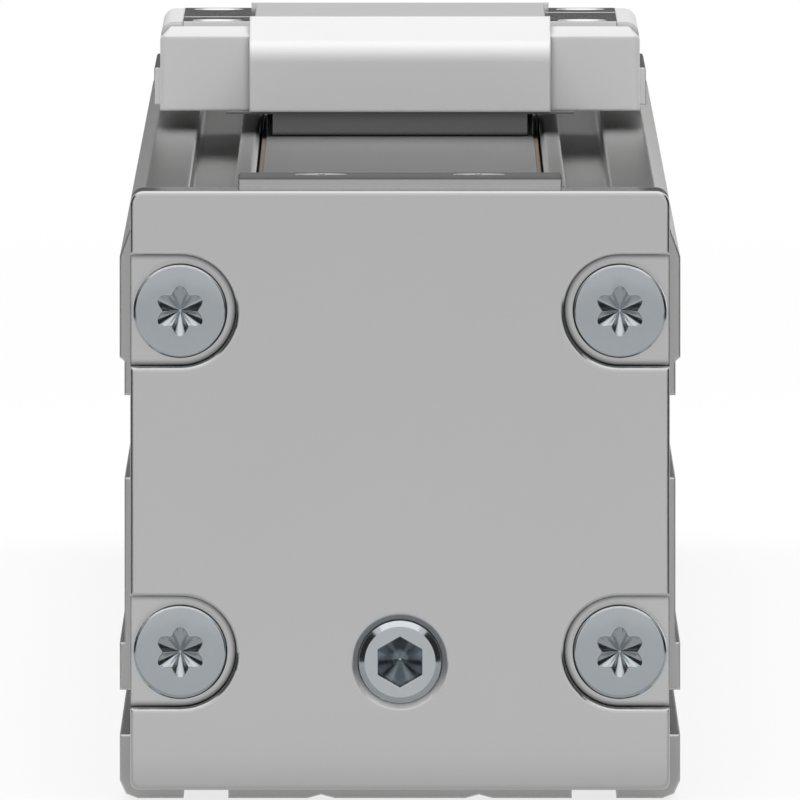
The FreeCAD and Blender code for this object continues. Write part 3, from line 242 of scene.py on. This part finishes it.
@dataclass(frozen=True)
class Finish:
    """One surface finish: colour, gloss, and fine marks that follow the way it was made.

    The height of the marks and the round of the edges are in mm; a swing is a share of the value that
    swings, or for roughness the amount; the edge wear and the corner shade go from 0 to 1. The edge wear
    pales the edges, partly as wear and partly as a painted highlight; the corner shade is painted shade in
    corners and hollows; top is painted shade: the colour of faces that look up and of the edges round
    them, which are then matt.
    """

    name: str
    colour: Colour
    metallic: float
    roughness: float
    grain: Grain
    colour_swing: float = 0.05
    rough_swing: float = 0.06
    mark_high: float = 0.004
    cloud: float = 0.03
    cloud_grain: Point = (0.05, 0.05, 0.05)
    specular: float = 0.5
    edge: float = 0.1
    # pales the edges: partly wear, partly painted highlight
    wear_and_sheen: float = 0.0
    # painted shade: darkens the colour in the corners and hollows of a piece
    painted_shade: float = 0.0
    # painted shade: the dark, matt colour of faces that look up
    top: Optional[Colour] = None

    def cut(self, shader: Shader, colour: Flow, normal: Flow) -> tuple[Flow, Flow]:
        """Cut a relief into the surface, which changes its colour and normal; most finishes have none."""
        return colour, normal

    def patch(self, shader: Shader, colour: Flow, metallic: Any) -> tuple[Flow, Any]:
        """Change the colour and gloss of a part of the surface; most finishes have no such part."""
        return colour, metallic

    def build(self) -> bpy.types.Material:
        """Make the material.

        Returns:
            A node material whose colour, roughness and bump vary over the surface.
        """
        material = bpy.data.materials.new(self.name)
        material.use_nodes = True
        shader = Shader(material.node_tree)
        marks = shader.noise(shader.place(self.grain.value), 4.0)
        clouds = shader.noise(shader.place(self.cloud_grain), 2.0)
        dark = tuple(c * (1 - self.colour_swing) for c in self.colour)
        pale = tuple(min(1.0, c * (1 + self.colour_swing)) for c in self.colour)
        shade = marks + (clouds - 0.5) * (self.cloud / max(self.colour_swing, 0.01))
        colour = shader.mix(shade, dark, pale)
        rough = shader.spread(marks, self.roughness - self.rough_swing, self.roughness + self.rough_swing)
        edges = shader.node("ShaderNodeBevel", {"samples": 6}, {"Radius": self.edge * MM})
        metallic: Any = self.metallic
        # Pale the edges: partly wear, partly painted highlight.
        if self.wear_and_sheen:
            colour = shader.mix(shader.edge_wear_and_sheen(edges) * self.wear_and_sheen, colour, PALE_WEAR_AND_SHEEN)
        # Painted shade: faces that look up, and the edges round them, turn dark and matt.
        if self.top:
            upwards = shader.upwards(edges, 0.05, 0.2)
            colour = shader.mix(upwards, colour, self.top)
            metallic = self.metallic - upwards
        # Painted shade: darken the colour in the corners.
        if self.painted_shade:
            colour = shader.mix(1.0 - shader.corners() * self.painted_shade, BLACK, colour)
        colour, metallic = self.patch(shader, colour, metallic)
        bump = shader.node("ShaderNodeBump", {}, {
            "Strength": 0.25, "Distance": self.mark_high * MM, "Height": marks, "Normal": edges})
        colour, normal = self.cut(shader, colour, bump)
        surface = shader.node("ShaderNodeBsdfPrincipled", {}, {
            "Base Color": colour, "Metallic": metallic, "Roughness": rough, "Normal": normal,
            "Specular IOR Level": self.specular})
        shader.node("ShaderNodeOutputMaterial", {}, {"Surface": surface})
        return material


@dataclass(frozen=True)
class BallTrack(Finish):
    """Steel with a ball track rolled round an axis that runs along y. Lengths in metres."""

    pitch: float = 0.010
    deep: float = 0.0008
    axis_high: float = 0.0
    over: float = 0.0

    def cut(self, shader: Shader, colour: Flow, normal: Flow) -> tuple[Flow, Flow]:
        """Roll the track, on places further from the axis than a plain journal.

        Args:
            shader: The tree that the nodes go to.
            colour: The colour so far.
            normal: The normal so far.

        Returns:
            The colour and the normal with the track in them.
        """
        spot = shader.node("ShaderNodeTexCoord", out="Object")
        x, y, z = (shader.node("ShaderNodeSeparateXYZ", {}, {0: spot}, axis) for axis in "XYZ")
        z = z - self.axis_high
        turn = shader.node("ShaderNodeMath", {"operation": "ARCTAN2"}, {0: x, 1: z})
        wave = shader.node("ShaderNodeMath", {"operation": "COSINE"}, {0: turn - y * (math.tau / self.pitch)})
        away = shader.node("ShaderNodeMath", {"operation": "SQRT"}, {0: x * x + z * z})
        threaded = shader.spread(away, 0.0, 1.0, self.over, self.over + 0.1 * MM)
        track = shader.spread(wave, 0.0, 1.0, -0.1, 0.8) * threaded
        # Painted shade: the colour darkens in the track's groove.
        root = tuple(part * 0.35 for part in self.colour)
        groove = shader.node("ShaderNodeBump", {"invert": True}, {
            "Strength": 1.0, "Distance": self.deep, "Height": track, "Normal": normal})
        return shader.mix(track, colour, root), groove


@dataclass(frozen=True)
class RimHighlightFinish(Finish):
    """A finish with a round rim whose rising half gets a painted highlight, pale and matt. Lengths in metres.
    """

    axes: str = "XZ"
    centre: tuple[float, float] = (0.0, 0.0)
    inner: float = 0.0
    outer: float = 0.0
    bare: Colour = grey(0.80)
    fade: float = 0.0001

    @classmethod
    def on(cls, finish: Finish, **sizes: Any) -> "RimHighlightFinish":
        """The same finish with a painted highlight on a rim."""
        return cls(**{**vars(finish), "name": f"rim_highlight_{finish.name}"}, **sizes)

    def patch(self, shader: Shader, colour: Flow, metallic: Any) -> tuple[Flow, Any]:
        """Paint a highlight on the rim where it rises, which is matt there.

        Args:
            shader: The tree that the nodes go to.
            colour: The colour so far.
            metallic: The share of metal so far.

        Returns:
            The colour and the share of metal with the rim in them.
        """
        spot = shader.node("ShaderNodeTexCoord", out="Object")
        across, up = (shader.node("ShaderNodeSeparateXYZ", {}, {0: spot}, axis) - middle
                      for axis, middle in zip(self.axes, self.centre))
        away = shader.node("ShaderNodeMath", {"operation": "SQRT"}, {0: across * across + up * up})
        true = shader.node("ShaderNodeNewGeometry", out="Normal")
        rim = shader.spread(away, 0.0, 1.0, self.inner - self.fade, self.inner)
        rim = rim * shader.spread(away, 1.0, 0.0, self.outer, self.outer + self.fade)
        # Painted highlight: the rim turns pale and matt where it faces up.
        lit_rim = rim * shader.upwards(true, 0.1, 0.6)
        return shader.mix(lit_rim, colour, self.bare), metallic - lit_rim


@dataclass(frozen=True)
class Lamp:
    """A soft lamp aimed at a point, which the metal doesn't show. In metres and watts."""

    name: str
    place: Point
    target: Point
    size: tuple[float, float]
    power: float

    def build(self) -> None:
        """Hang the lamp."""
        data = bpy.data.lights.new(self.name, "AREA")
        data.shape = "RECTANGLE"
        data.size, data.size_y = self.size
        data.energy = self.power
        lamp = bpy.data.objects.new(self.name, data)
        lamp.location = self.place
        aim = Vector(self.target) - Vector(self.place)
        lamp.rotation_euler = aim.to_track_quat("-Z", "Y").to_euler()
        lamp.visible_glossy = False
        bpy.context.scene.collection.objects.link(lamp)


class Facing(Enum):
    """How a card stands, as quarter turns about the three axes."""

    FLAT = (0, 0, 0)
    UPRIGHT = (1, 0, 0)
    SIDEWAYS = (0, 1, 0)


@dataclass(frozen=True)
class Card:
    """A card of one tone that is seen in the metal only. In metres."""

    name: str
    tone: float
    place: Point
    facing: Facing
    size: tuple[float, float]

    def build(self) -> None:
        """Put up the card."""
        paper = bpy.data.materials.new(self.name)
        paper.use_nodes = True
        shader = Shader(paper.node_tree)
        glow = shader.node("ShaderNodeEmission", {}, {"Color": WHITE, "Strength": self.tone})
        shader.node("ShaderNodeOutputMaterial", {}, {"Surface": glow})
        turn = Vector(self.facing.value) * math.pi / 2
        bpy.ops.mesh.primitive_plane_add(size=1.0, location=self.place, rotation=turn)
        card = bpy.context.object
        card.name = self.name
        card.scale = (*self.size, 1.0)
        card.visible_camera = False
        card.visible_diffuse = False
        card.visible_shadow = False
        card.data.materials.append(paper)


@dataclass
class Studio:
    """The room round the axis: floor, white background, soft lamps, cards and the camera.

    The metal shows the cards: dark sides and back, a bright top and a grey patch on the floor. The
    camera's place is in metres, its pitch in degrees, its lens and sensor in mm.
    """

    camera_away: float = 3.6
    camera_up: float = 0.2234
    pitch: float = 2.8377
    lens: float = 1459.0
    sensor: float = 36.0
    lamps: tuple[Lamp, ...] = (
        Lamp("overhead", (0.0, -0.3, 1.5), (0.0, -0.2, 0.0), (2.0, 2.2), 28.0),
        Lamp("front", (0.0, -3.4, 0.9), (0.0, -0.28, 0.03), (1.6, 0.8), 11.5),
    )
    cards: tuple[Card, ...] = (
        Card("card_left", 0.03, (-1.3, -0.9, 0.68), Facing.SIDEWAYS, (1.36, 2.6)),
        Card("card_right", 0.03, (1.3, -0.9, 0.68), Facing.SIDEWAYS, (1.36, 2.6)),
        Card("card_behind", 0.10, (0.0, 2.2, 0.65), Facing.UPRIGHT, (1.3, 1.3)),
        Card("card_behind_left", 0.80, (-1.5, 2.2, 0.65), Facing.UPRIGHT, (1.7, 1.3)),
        Card("card_behind_right", 1.90, (1.5, 2.2, 0.65), Facing.UPRIGHT, (1.7, 1.3)),
        Card("card_floor_left", 0.06, (-0.78, -0.4, 0.0006), Facing.FLAT, (1.04, 0.9)),
        Card("card_floor_right", 0.06, (0.78, -0.4, 0.0006), Facing.FLAT, (1.04, 0.9)),
        Card("card_above", 1.35, (0.0, -0.3, 1.6), Facing.FLAT, (2.0, 2.2)),
        Card("card_below", 0.55, (0.0, -0.298, 0.0006), Facing.FLAT, (0.5, 0.04)),
    )

    def build(self) -> None:
        """Set up the whole room."""
        self.world()
        self.floor()
        for item in (*self.lamps, *self.cards):
            item.build()
        self.camera()

    @staticmethod
    def seen(shader: Shader, camera: Any, glossy: float) -> Flow:
        """How much a surface shows itself as plain white, by the kind of ray that meets it.

        Args:
            shader: The tree that the nodes go to.
            camera: The share for rays from the camera.
            glossy: The share for rays that a shiny surface sends.

        Returns:
            The share of white.
        """
        camera_ray = shader.node("ShaderNodeLightPath", out="Is Camera Ray")
        glossy_ray = shader.node("ShaderNodeLightPath", out="Is Glossy Ray")
        through_ray = shader.node("ShaderNodeLightPath", out="Is Transmission Ray")
        return (camera_ray * camera).most(glossy_ray * glossy).most(through_ray * camera)

    def world(self) -> None:
        """White for the camera and for reflections, a dimmer grey as light."""
        world = bpy.data.worlds.new("room")
        world.use_nodes = True
        bpy.context.scene.world = world
        shader = Shader(world.node_tree)
        colour = shader.mix(self.seen(shader, 1.0, 0.75), grey(0.50), WHITE)
        light = shader.node("ShaderNodeBackground", {}, {"Color": colour, "Strength": 1.0})
        shader.node("ShaderNodeOutputWorld", {}, {"Surface": light})

    def floor(self) -> None:
        """A wide pale floor that shows white and keeps a faint shadow."""
        material = bpy.data.materials.new("studio_floor")
        material.use_nodes = True
        shader = Shader(material.node_tree)
        camera_ray = shader.node("ShaderNodeLightPath", out="Is Camera Ray")
        paint = shader.mix(camera_ray, grey(0.42), grey(0.90))
        pale = shader.node("ShaderNodeBsdfDiffuse", {}, {"Color": paint})
        white = shader.node("ShaderNodeEmission", {}, {"Color": WHITE, "Strength": 1.0})
        place = shader.node("ShaderNodeNewGeometry", out="Position")
        away = shader.node("ShaderNodeVectorMath", {"operation": "LENGTH"}, {0: place}, "Value")
        plain = shader.spread(away, 0.78, 1.0, 0.45, 1.2)
        both = shader.node("ShaderNodeMixShader", {}, {
            0: self.seen(shader, plain, 0.45), 1: pale, 2: white})
        shader.node("ShaderNodeOutputMaterial", {}, {"Surface": both})
        bpy.ops.mesh.primitive_plane_add(size=80.0, location=(0.0, 0.0, -0.0002))
        plane = bpy.context.object
        plane.name = "studio_floor"
        plane.data.materials.append(material)

    def camera(self) -> None:
        """A long lens in front of the plain end, looking a little down."""
        data = bpy.data.cameras.new("camera")
        data.sensor_width = self.sensor
        data.lens = self.lens
        data.clip_start = 0.1
        data.clip_end = 100.0
        camera = bpy.data.objects.new("camera", data)
        camera.location = (0.0, CAD_BOX[0][1] - self.camera_away, self.camera_up)
        camera.rotation_euler = (math.pi / 2 - math.radians(self.pitch), 0.0, 0.0)
        bpy.context.scene.collection.objects.link(camera)
        bpy.context.scene.camera = camera
        bpy.context.scene.view_settings.view_transform = "Standard"


# Darkening in the corners of these finishes is painted shade.
FINISHES: dict[str, Finish] = {finish.name: finish for finish in (
    # Pale edges in these finishes are partly wear and partly painted highlight.
    Finish("anodised_aluminium", (0.46, 0.46, 0.455), 1.0, 0.28, Grain.ALONG_AXIS,
           colour_swing=0.02, rough_swing=0.01, mark_high=0.0001, edge=0.5, wear_and_sheen=1.0, painted_shade=0.4),
    Finish("cap_aluminium", grey(0.60), 1.0, 0.17, Grain.FINE,
           colour_swing=0.015, rough_swing=0.03, mark_high=0.0004, cloud=0.01, edge=0.35, painted_shade=1.0),
    Finish("slide_aluminium", grey(0.75), 1.0, 0.18, Grain.FINE,
           colour_swing=0.02, rough_swing=0.03, mark_high=0.0004, edge=0.2, wear_and_sheen=0.3, painted_shade=0.5),
    Finish("cover_aluminium", grey(0.40), 0.0, 0.55, Grain.FINE,
           colour_swing=0.02, rough_swing=0.04, mark_high=0.0006, cloud=0.01),
    # Painted shade: the clamps' tops are dark and matt.
    Finish("clamp_aluminium", grey(0.50), 1.0, 0.10, Grain.FINE,
           colour_swing=0.02, rough_swing=0.03, mark_high=0.0004, specular=0.0, edge=0.4, wear_and_sheen=0.5, painted_shade=0.6,
           top=grey(0.12)),
    Finish("zinc_steel", (0.44, 0.475, 0.50), 1.0, 0.17, Grain.ROUND,
           colour_swing=0.03, rough_swing=0.03, mark_high=0.0005),
    # Pale, partly matt steel paints a glint on the head; the socket gets painted shade.
    Finish("clamp_screw_steel", (0.80, 0.80, 0.81), 0.88, 0.10, Grain.ROUND,
           colour_swing=0.03, rough_swing=0.03, mark_high=0.0005, edge=0.0, painted_shade=0.95),
    Finish("bright_steel", (0.60, 0.61, 0.62), 1.0, 0.20, Grain.ROUND,
           colour_swing=0.03, rough_swing=0.04, mark_high=0.001),
    Finish("strip_steel", grey(0.20), 0.6, 0.40, Grain.ALONG_AXIS,
           colour_swing=0.03, rough_swing=0.02, mark_high=0.0001, specular=0.3),
    Finish("plug_steel", (0.52, 0.555, 0.58), 1.0, 0.15, Grain.ROUND,
           colour_swing=0.03, rough_swing=0.03, mark_high=0.001),
    Finish("white_plastic", grey(0.70), 0.0, 0.42, Grain.FINE,
           colour_swing=0.01, rough_swing=0.03, mark_high=0.0006, cloud=0.01, edge=0.5, painted_shade=0.35),
    Finish("dark_plastic", (0.13, 0.13, 0.132), 0.0, 0.45, Grain.FINE,
           colour_swing=0.06, rough_swing=0.05, mark_high=0.001),
    Finish("runner_plastic", (0.10, 0.25, 0.12), 0.0, 0.42, Grain.FINE,
           colour_swing=0.05, rough_swing=0.05, mark_high=0.001),
    Finish("magnet", (0.105, 0.075, 0.055), 0.0, 0.60, Grain.ALONG_AXIS,
           colour_swing=0.06, rough_swing=0.05, mark_high=0.001),
    Finish("bumper_rubber", grey(0.02), 0.0, 0.70, Grain.FINE,
           colour_swing=0.10, rough_swing=0.06, mark_high=0.003),
)}


class Mould:
    """A mesh lofted through rings of points."""

    def __init__(self) -> None:
        """Start with an empty mesh."""
        self.mesh = bmesh.new()
        self.last: list[bmesh.types.BMVert] = []

    def ring(self, points: Iterable[Vector]) -> "Mould":
        """Add the next ring and join it to the one before.

        Args:
            points: The ring's points, as many as in the one before.

        Returns:
            The mould itself.
        """
        verts = [self.mesh.verts.new(point) for point in points]
        for count in range(len(verts)):
            if self.last:
                after = (count + 1) % len(verts)
                self.mesh.faces.new((self.last[count], self.last[after], verts[after], verts[count]))
        self.last = verts
        return self

    def tip(self, point: Vector) -> "Mould":
        """Close the last ring with faces to one point.

        Args:
            point: The point.

        Returns:
            The mould itself.
        """
        end = self.mesh.verts.new(point)
        for count, vert in enumerate(self.last):
            self.mesh.faces.new((vert, self.last[(count + 1) % len(self.last)], end))
        return self

    def shut(self) -> "Mould":
        """Close the last ring with one flat face."""
        self.mesh.faces.new(self.last)
        return self

    def piece(self, name: str, finish: bpy.types.Material, sharp: float = 35.0) -> bpy.types.Object:
        """Turn the mesh into an object.

        Args:
            name: The piece's name.
            finish: Its material.
            sharp: Edges that turn by more than this many degrees stay sharp.

        Returns:
            The object, linked to the scene.
        """
        bmesh.ops.recalc_face_normals(self.mesh, faces=self.mesh.faces)
        data = bpy.data.meshes.new(name)
        self.mesh.to_mesh(data)
        self.mesh.free()
        data.materials.append(finish)
        data.shade_smooth()
        data.set_sharp_from_angle(angle=math.radians(sharp))
        piece = bpy.data.objects.new(name, data)
        bpy.context.scene.collection.objects.link(piece)
        LOG.info("made %s with %d faces", name, len(data.polygons))
        return piece


class Socket(Enum):
    """The shape of a screw's drive socket."""

    SIX_LOBE = "six_lobe"
    HEXAGON = "hexagon"

    def reach(self, turn: float, outer: float, inner: float) -> float:
        """Distance from the socket's middle to its wall in one direction.

        Args:
            turn: The direction, in radians.
            outer: Half the socket's largest width.
            inner: Half the width between its lobes or over its flats.

        Returns:
            The distance, in the unit of outer and inner.
        """
        if self is Socket.SIX_LOBE:
            return inner + (outer - inner) * (0.5 + 0.5 * math.cos(6 * turn)) ** 0.8
        sixth = math.pi / 3
        return inner / math.cos(turn % sixth - sixth / 2)


@dataclass(frozen=True)
class SocketScrew:
    """A screw or plug with a drive socket, its head facing along one direction. Sizes in mm.

    The floor of the socket goes from a plain cone, ridged 0, to a ridge per lobe, ridged 1. Its rings
    and the lip round it are shares of the socket's outline, and the bevel of the tip is a share of the
    shank's radius.
    """

    head_radius: float
    head_high: float
    edge_round: float
    shank_radius: float
    length: float
    socket: Socket
    socket_outer: float
    socket_inner: float
    socket_deep: float
    wall_deep: float = 0.0
    ridged: float = 0.8
    edge_steps: int = 5
    cone_head: bool = False
    segments: int = 96
    tip_bevel: float = 0.2
    lip: float = 1.02
    lip_deep: float = 0.04
    floor_rings: tuple[float, ...] = (0.995, 0.66, 0.33, 0.08)
    sharp: float = 24.0

    def circle(self, radius: float, high: float) -> list[Vector]:
        """A ring round the screw's own axis, at a height above the seat of its head."""
        turns = (math.tau * count / self.segments for count in range(self.segments))
        return [Vector((radius * math.sin(turn), radius * math.cos(turn), high)) * MM for turn in turns]

    def star(self, share: float, high: float, slope: float = 0.0) -> list[Vector]:
        """The socket's outline, made smaller to a share of its size.

        Args:
            share: The share of its size.
            high: Height of the ring, or of the middle of a sloping floor.
            slope: Rise of the floor per length, outwards from its middle.

        Returns:
            The ring; on a sloping floor it lies between a plain cone and one with a ridge per lobe.
        """
        ring = []
        for count in range(self.segments):
            turn = math.tau * count / self.segments
            reach = share * self.socket.reach(turn, self.socket_outer, self.socket_inner)
            along = self.ridged * share * self.socket_outer + (1 - self.ridged) * reach
            ring.append(Vector((reach * math.sin(turn), reach * math.cos(turn), high + slope * along)) * MM)
        return ring

    def build(self, name: str, finish: bpy.types.Material, place: Vector, face: Vector) -> bpy.types.Object:
        """Make the screw.

        Args:
            name: The piece's name.
            finish: Its material.
            place: The middle of the seat under its head, in metres.
            face: The direction that its head faces.

        Returns:
            The screw, in place.
        """
        top = self.head_high
        mould = Mould()
        bevel = self.shank_radius * self.tip_bevel
        mould.ring(self.circle(self.shank_radius - bevel, -self.length)).shut()
        mould.ring(self.circle(self.shank_radius, -self.length + bevel))
        mould.ring(self.circle(self.shank_radius, 0.0))
        if not self.cone_head:
            mould.ring(self.circle(self.head_radius, 0.0))
        for step in range(self.edge_steps + 1):
            angle = math.pi / 2 * step / self.edge_steps
            inset = self.edge_round * (1 - math.cos(angle))
            drop = self.edge_round * (1 - math.sin(angle))
            mould.ring(self.circle(self.head_radius - inset, top - drop))
        mould.ring(self.star(self.lip, top)).ring(self.star(1.0, top - self.lip_deep))
        floor = top - self.socket_deep
        slope = (self.socket_deep - self.wall_deep - self.lip_deep) / self.socket_outer
        for share in self.floor_rings:
            mould.ring(self.star(share, floor, slope))
        mould.tip(Vector((0.0, 0.0, floor)) * MM)
        piece = mould.piece(name, finish, self.sharp)
        turn = Vector((0.0, 0.0, 1.0)).rotation_difference(face).to_matrix().to_4x4()
        piece.matrix_world = Matrix.Translation(place) @ turn
        return piece


@dataclass
class Group:
    """Pieces of the axis that are put together as one, with the materials they share."""

    materials: dict[str, bpy.types.Material]

    def build(self) -> None:
        """Make the pieces that the frame shows only in outline."""

    def dress(self) -> None:
        """Give the pieces of the frame a finish of their own."""

    def keep(self, piece: bpy.types.Object, body: str, finish: str, *nodes: str) -> None:
        """Let a piece ride on a body in place of some of the frame's nodes."""
        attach(piece, body)
        self.note(piece, finish, *nodes)

    def note(self, piece: bpy.types.Object, finish: str, *nodes: str) -> None:
        """Hide the nodes that a piece stands for, and write down which nodes they are.

        Args:
            piece: The piece.
            finish: The name of the slot; not used.
            nodes: The frame's nodes that it stands for.
        """
        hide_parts(*nodes)
        LOG.info("%s stands for %s", piece.name, ", ".join(nodes))


def middle(low: Vector, high: Vector) -> Vector:
    """The point half-way between two corners."""
    return (low + high) / 2


@dataclass
class FrontEnd(Group):
    """The plain end: its four six-lobe screws and the plug in its port."""

    screw: SocketScrew = SocketScrew(
        head_radius=5.25, head_high=3.3, edge_round=0.45, shank_radius=3.0, length=18.0,
        socket=Socket.SIX_LOBE, socket_outer=2.75, socket_inner=1.95, socket_deep=1.65)
    plug: SocketScrew = SocketScrew(
        head_radius=4.6, head_high=1.0, edge_round=0.65, shank_radius=4.6, length=6.5,
        socket=Socket.HEXAGON, socket_outer=2.83, socket_inner=2.45, socket_deep=6.0, wall_deep=4.0,
        ridged=0.0, edge_steps=1, cone_head=True)
    port_mouth: float = 5.4
    # where on the heads' round edge the painted highlight lies, as shares of the round
    highlight_rim: tuple[float, float] = (0.75, 0.35)

    def build(self) -> None:
        """Make the screws and the plug."""
        # The rising half of each head's round edge gets a painted highlight, pale and matt.
        inner, outer = (self.screw.head_radius - share * self.screw.edge_round for share in self.highlight_rim)
        steel = RimHighlightFinish.on(FINISHES["zinc_steel"], axes="XY", inner=inner * MM, outer=outer * MM,
                                bare=PALE_WEAR_AND_SHEEN, fade=0.05 * MM).build()
        low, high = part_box("front_cap_screws")
        radius = self.screw.head_radius * MM
        seat = low.y + self.screw.head_high * MM
        out = Vector((0.0, -1.0, 0.0))
        for side, x in (("left", low.x + radius), ("right", high.x - radius)):
            for row, z in (("low", low.z + radius), ("high", high.z - radius)):
                screw = self.screw.build(f"cap_screw_{side}_{row}", steel, Vector((x, seat, z)), out)
                self.keep(screw, "base", "zinc_steel", "front_cap_screws")
        low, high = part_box("vent_plug")
        spot = middle(low, high)
        spot.y = low.y
        plug = self.plug.build("port_plug", self.materials["plug_steel"], spot, out)
        self.keep(plug, "base", "plug_steel", "vent_plug")

    def dress(self) -> None:
        """Paint a highlight on the rising half of the port's mouth, pale and matt there."""
        spot = middle(*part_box("vent_plug"))
        lit_mouth_finish = RimHighlightFinish.on(FINISHES["cap_aluminium"], centre=(spot.x, spot.z),
                                 outer=self.port_mouth * MM)
        frame["nodes"]["front_end_cap"].data.materials[0] = lit_mouth_finish.build()


@dataclass
class StripRun(Group):
    """The steel strip along the top, held at both ends, and lifted over the slide's neck. Sizes in mm."""

    thick: float = 0.25
    edge: float = 0.08
    lift_start: float = 28.05
    lift_full: float = 14.4
    screw: SocketScrew = SocketScrew(
        head_radius=2.95, head_high=1.45, edge_round=0.02, shank_radius=1.5, length=5.2,
        socket=Socket.SIX_LOBE, socket_outer=1.3, socket_inner=0.95, socket_deep=1.2, wall_deep=0.9,
        cone_head=True)

    def section(self, half: float, y: float, under: float) -> list[Vector]:
        """The strip's cross-section with rolled edges, at one place along the axis. In metres.

        Args:
            half: Half the strip's width.
            y: The place along the axis.
            under: The height of its underside.

        Returns:
            The ring of its corners.
        """
        edge = self.edge * MM
        top = under + self.thick * MM
        return [Vector((x, y, z)) for x, z in (
            (-half + edge, under), (half - edge, under), (half, under + edge), (half, top - edge),
            (half - edge, top), (-half + edge, top), (-half, top - edge), (-half, under + edge))]

    def length(self, name: str, places: Sequence[tuple[float, float]], half: float) -> bpy.types.Object:
        """A length of strip through places given as (along the axis, underside).

        Args:
            name: The piece's name.
            places: The places, from front to rear, in metres.
            half: Half the strip's width, in metres.

        Returns:
            The piece.
        """
        mould = Mould()
        mould.ring(self.section(half, *places[0])).shut()
        for place in places[1:]:
            mould.ring(self.section(half, *place))
        return mould.shut().piece(name, self.materials["strip_steel"], 60.0)

    def build(self) -> None:
        """Make the strip in three lengths, and the screws of its clamps."""
        low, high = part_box("cover_strip")
        front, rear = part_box("strip_clamp_front")[1].y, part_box("strip_clamp_rear")[0].y
        slide = middle(*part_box("slide_body")).y
        lift = high.z - self.thick * MM
        start, full = self.lift_start * MM, self.lift_full * MM
        ramp = [(slide - start, low.z), (slide - full, lift), (slide + full, lift), (slide + start, low.z)]
        strip = self.length("strip_front", [(low.y, low.z), (front, low.z), ramp[0]], high.x)
        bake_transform(strip)
        self.note(strip, "strip_steel", "cover_strip")
        strip = self.length("strip_rear", [ramp[3], (rear, low.z), (high.y, low.z)], high.x)
        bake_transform(strip)
        self.note(strip, "strip_steel", "cover_strip")
        self.keep(self.length("strip_over_neck", ramp, high.x), "slide", "strip_steel", "cover_strip")
        self.clamp_screws()

    def clamp_screws(self) -> None:
        """Make the countersunk screws of both clamps."""
        low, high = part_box("strip_clamp_screws")
        radius = self.screw.head_radius * MM
        seat = high.z - self.screw.head_high * MM
        for end, y in (("front", low.y + radius), ("rear", high.y - radius)):
            for side, x in (("left", low.x + radius), ("right", high.x - radius)):
                screw = self.screw.build(f"clamp_screw_{end}_{side}", self.materials["clamp_screw_steel"],
                                         Vector((x, y, seat)), Vector((0.0, 0.0, 1.0)))
                self.keep(screw, "base", "zinc_steel", "strip_clamp_screws")

    def dress(self) -> None:
        """Give the clamps a duller finish of their own, with painted shade on their tops and in their
        corners.
        """
        for node in ("strip_clamp_front", "strip_clamp_rear"):
            frame["nodes"][node].data.materials[0] = self.materials["clamp_aluminium"]


@dataclass
class DriveEnd(Group):
    """The drive end: the small screws of its bearing retainer."""

    screw: SocketScrew = SocketScrew(
        head_radius=2.5, head_high=1.25, edge_round=0.2, shank_radius=1.5, length=7.25,
        socket=Socket.SIX_LOBE, socket_outer=1.4, socket_inner=1.0, socket_deep=0.9)

    def build(self) -> None:
        """Make the retainer's screws."""
        low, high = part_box("retainer_screws")
        radius = self.screw.head_radius * MM
        seat = high.y - self.screw.head_high * MM
        for row, z in (("low", low.z + radius), ("high", high.z - radius)):
            for side, x in (("left", low.x + radius), ("right", high.x - radius)):
                screw = self.screw.build(f"retainer_screw_{side}_{row}", self.materials["zinc_steel"],
                                         Vector((x, seat, z)), Vector((0.0, 1.0, 0.0)))
                self.keep(screw, "base", "zinc_steel", "retainer_screws")


@dataclass
class ScrewDrive(Group):
    """The ball screw inside the profile, which moves the nut. Sizes in mm."""

    journal: float = 5.2

    def dress(self) -> None:
        """Roll the ball track onto the spindle, at the pitch that couples it to the slide."""
        behaviour = frame["record"]["behaviour"]
        spin = next(joint for joint in behaviour["joints"] if joint["child"] == "spindle")
        follow = next(link for link in behaviour["couplings"] if link["joint"] == spin["name"])
        plain = FINISHES["bright_steel"]
        track = BallTrack("ball_track_steel", plain.colour, plain.metallic, plain.roughness, plain.grain,
                          pitch=math.tau / abs(follow["ratio"]), axis_high=spin["pos_m"][2],
                          over=self.journal * MM)
        frame["nodes"]["ball_screw"].data.materials[0] = track.build()


def dress_frame(materials: dict[str, bpy.types.Material]) -> None:
    """Give every node of the frame the finish of its own slot.

    Args:
        materials: The materials by the name of their slot.
    """
    for entry in frame["record"]["subparts"]:
        data = frame["nodes"][entry["node"]].data
        data.materials.clear()
        data.materials.append(materials[entry["material_slot"]])
        LOG.info("%s is finished as %s", entry["node"], entry["material_slot"])


def main() -> None:
    """Dress the frame, add the finer pieces and set up the studio."""
    logging.basicConfig(level=logging.INFO, format="%(name)s: %(message)s")
    materials = {name: finish.build() for name, finish in FINISHES.items()}
    dress_frame(materials)
    for kind in (FrontEnd, StripRun, DriveEnd, ScrewDrive):
        group = kind(materials)
        group.build()
        group.dress()
    Studio().build()
    bpy.context.view_layer.update()


if __name__ == "__main__":
    main()
